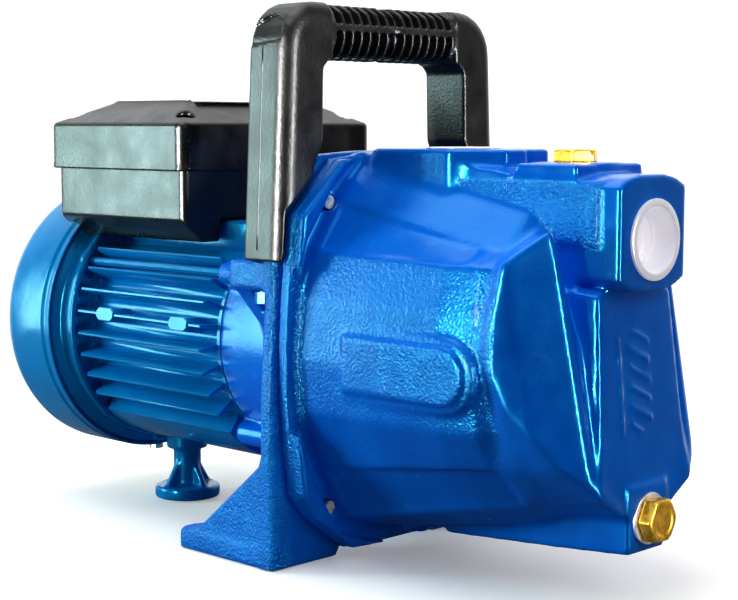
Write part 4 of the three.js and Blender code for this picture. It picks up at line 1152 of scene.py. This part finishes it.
# ---------------------------------------------------------------- plugs, washers and port caps
PLUG_AF, PLUG_THREAD = 19, 8.2
DRAIN_HEAD, PRIMING_HEAD = (1.5, 8.5), (95.2, 101.2)


def hexagon_field(u, v, across, turn):
    sides = [math.radians(60 * k + turn) for k in range(3)]
    return np.maximum.reduce([np.abs(u * math.cos(a) + v * math.sin(a)) for a in sides]) - across / 2


def brass_plug(name, node, body, along, u, v, g, span, thread_end, turn, slot=None):
    """A hexagon head with chamfered corners over a threaded stem; along runs outward from the stem."""
    radius = np.hypot(u, v)
    head = common(hexagon_field(u, v, PLUG_AF, turn), slab(along, *span))
    chamfer = (along - span[1]) * 0.87 + (radius - 9.3) * 0.5
    low_chamfer = (span[0] - along) * 0.87 + (radius - 10.2) * 0.5
    head = common(head, chamfer, low_chamfer)
    dish = common(radius - 6.8, (span[1] - 0.5) - along)
    thread = 0.42 * np.abs((along / 1.8) % 1 - 0.5)
    stem = common(radius - PLUG_THREAD + thread, slab(along, thread_end, span[0] + 0.5))
    whole = union(minus(head, dish), stem)
    if slot is not None:
        whole = minus(whole, slot)
    piece = cast_piece(name, g, soften(whole, 1), body, MATERIALS["brass"])
    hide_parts(node)


def build_plugs():
    g = Grid((-13, -12, DRAIN_Z - 12), (9.3, 12, DRAIN_Z + 12), 0.45)
    brass_plug("drain_plug_body", "drain_plug", "drain_plug", g.x, g.y, g.z - DRAIN_Z, g, DRAIN_HEAD, -12, 90)
    g = Grid((PRIMING_X - 12, -12, 81), (PRIMING_X + 12, 12, 102), 0.45)
    slot = common(np.abs(g.y) - 1.1, (PRIMING_HEAD[1] - 2.2) - g.z)
    brass_plug(
        "priming_plug_body", "priming_plug", "priming_plug", g.z, g.x - PRIMING_X, g.y, g, PRIMING_HEAD, 82.2,
        30, slot,
    )
    for name, node, axis, centre, low, high in (
        ("drain_washer_ring", "drain_plug_washer", "X", (0, DRAIN_Z), -0.3, 1.2),
        ("priming_washer_ring", "priming_plug_washer", "Z", (PRIMING_X, 0), 93.7, 94.9),
    ):
        edge = 0.25
        profile = [
            (low, 8.5), (low, 12 - edge), (low + edge, 12), (high - edge, 12), (high, 12 - edge), (high, 8.5),
        ]
        body = node.removesuffix("_washer")
        ring = lathe(name, profile, axis, centre, body, MATERIALS["washer_aluminium"], 64, 40)
        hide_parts(node)


def cap_profile(face, lip_radius, lip):
    """A cup with two steps and a rounded lip, from its middle at the inner face out and back."""
    return [
        (face - 13, 0.0), (face - 13, 10.9), (face - 12.6, 11.4), (face - 9.4, 11.6), (face - 9, 12),
        (face - 9, 14.2), (face - 8.6, 14.5), (face + lip - 0.5, 15.0), (face + lip, 15.5),
        (face + lip, lip_radius - 0.6),
        (face + lip - 0.3, lip_radius - 0.1), (face + lip * 0.5, lip_radius), (face + 0.3, lip_radius - 0.2),
        (face + 0.3, 16.1), (face - 10.6, 16.1), (face - 10.6, 13), (face - 14.4, 12.8), (face - 14.6, 12.5),
        (face - 14.6, 0.0),
    ]


def build_caps():
    discharge = cap_profile(DISCHARGE_TOP, 17.2, 0.7)
    for name, node, axis, centre, profile in (
        ("suction_cap_cup", "suction_port_cap", "X", (0, PORT_Z), cap_profile(0, 18.5, 2)),
        ("discharge_cap_cup", "discharge_port_cap", "Z", (DISCHARGE_X, 0), discharge),
    ):
        cup = lathe(name, profile, axis, centre, node.replace("_port", ""), MATERIALS["cap_plastic"], 96, 35)
        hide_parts(node)


# ---------------------------------------------------------------- support foot, tie rods and label
FOOT_X = -327


def build_foot():
    g = Grid((FOOT_X - 20, -20, -107), (FOOT_X + 20, 20, -65.5), 0.8)
    radius = np.hypot(g.x - FOOT_X, g.y)
    disc = rounded(radius - 19, slab(g.z, -106, -99), 1.2)
    stem = common(radius - 8, slab(g.z, -101, -68))
    collar = rounded(radius - 12, slab(g.z, -77, -66.8), 1)
    body = weld(weld(disc, stem, 3), collar, 2)
    wing = common((radius - 8) + (g.z + 99) * 0.62 - 8.5, slab(g.z, -100, -84))
    for across in (g.x - FOOT_X, g.y):
        body = weld(body, common(wing, np.abs(across) - 2), 1.2)
    body = minus(soften(body, 1), common(radius - 5.8, g.z + 90), radius - 3.3)
    piece = cast_piece("support_foot_post", g, body, "pump", MATERIALS["frame_blue"])
    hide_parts("support_foot")


def paint_tie_rods():
    """The rods and the handle's screws were sprayed along with the castings."""
    for name in (*[f"tie_bolt_{i + 1}" for i in range(4)], "handle_screw_1", "handle_screw_2"):
        kept = NODES[name]
        kept.data.materials.clear()
        kept.data.materials.append(MATERIALS["frame_blue"])


def paper():
    """Coated label stock, blank, slightly cockled."""
    n = Nodes("blank_label")
    n.set(
        Base_Color=n.colours(n.noise(50, 3), (0.3, (0.72, 0.73, 0.74)), (0.7, (0.80, 0.81, 0.81))),
        Roughness=n.between(n.noise(160, 3), 0.3, 0.7, 0.35, 0.5),
        Normal=n.bump(n.noise(60, 2), 0.0004, 0.3),
    )
    return n.material


def build_label():
    """A blank self-adhesive label with rounded corners in the lid's shallow recess."""
    half_x, half_y, radius = 28.5, 42, 2
    centre_x, low, high = -292, LID["top"] - 0.95, LID["top"] - 0.55
    corners = []
    for quarter, (right, back) in enumerate(((1, 1), (-1, 1), (-1, -1), (1, -1))):
        start = 90 * quarter
        corners += arc(right * (half_x - radius), back * (half_y - radius), radius, start, start + 90, 5)
    levels = (low, 1), (high, 1), (high + 0.02, 0.995)
    rows = [[(centre_x + u * s, v * s, z) for u, v in corners] for z, s in levels]
    vertices, faces = tube_mesh(rows, closed=False)
    count = len(corners)
    faces += [tuple(range(count))[::-1], tuple(range(2 * count, 3 * count))]
    piece = new_mesh("lid_label", vertices, faces, "pump", paper(), sharp_angle=30)
    tidy(piece)


# ---------------------------------------------------------------- everything in place
camera()
floor()
studio()
build_casing()
build_bracket()
build_motor_frame()
build_fan_cover()
build_rear_shield()
build_handle()
build_lid()
build_box()
build_label()
build_plugs()
build_caps()
build_foot()
paint_tie_rods()
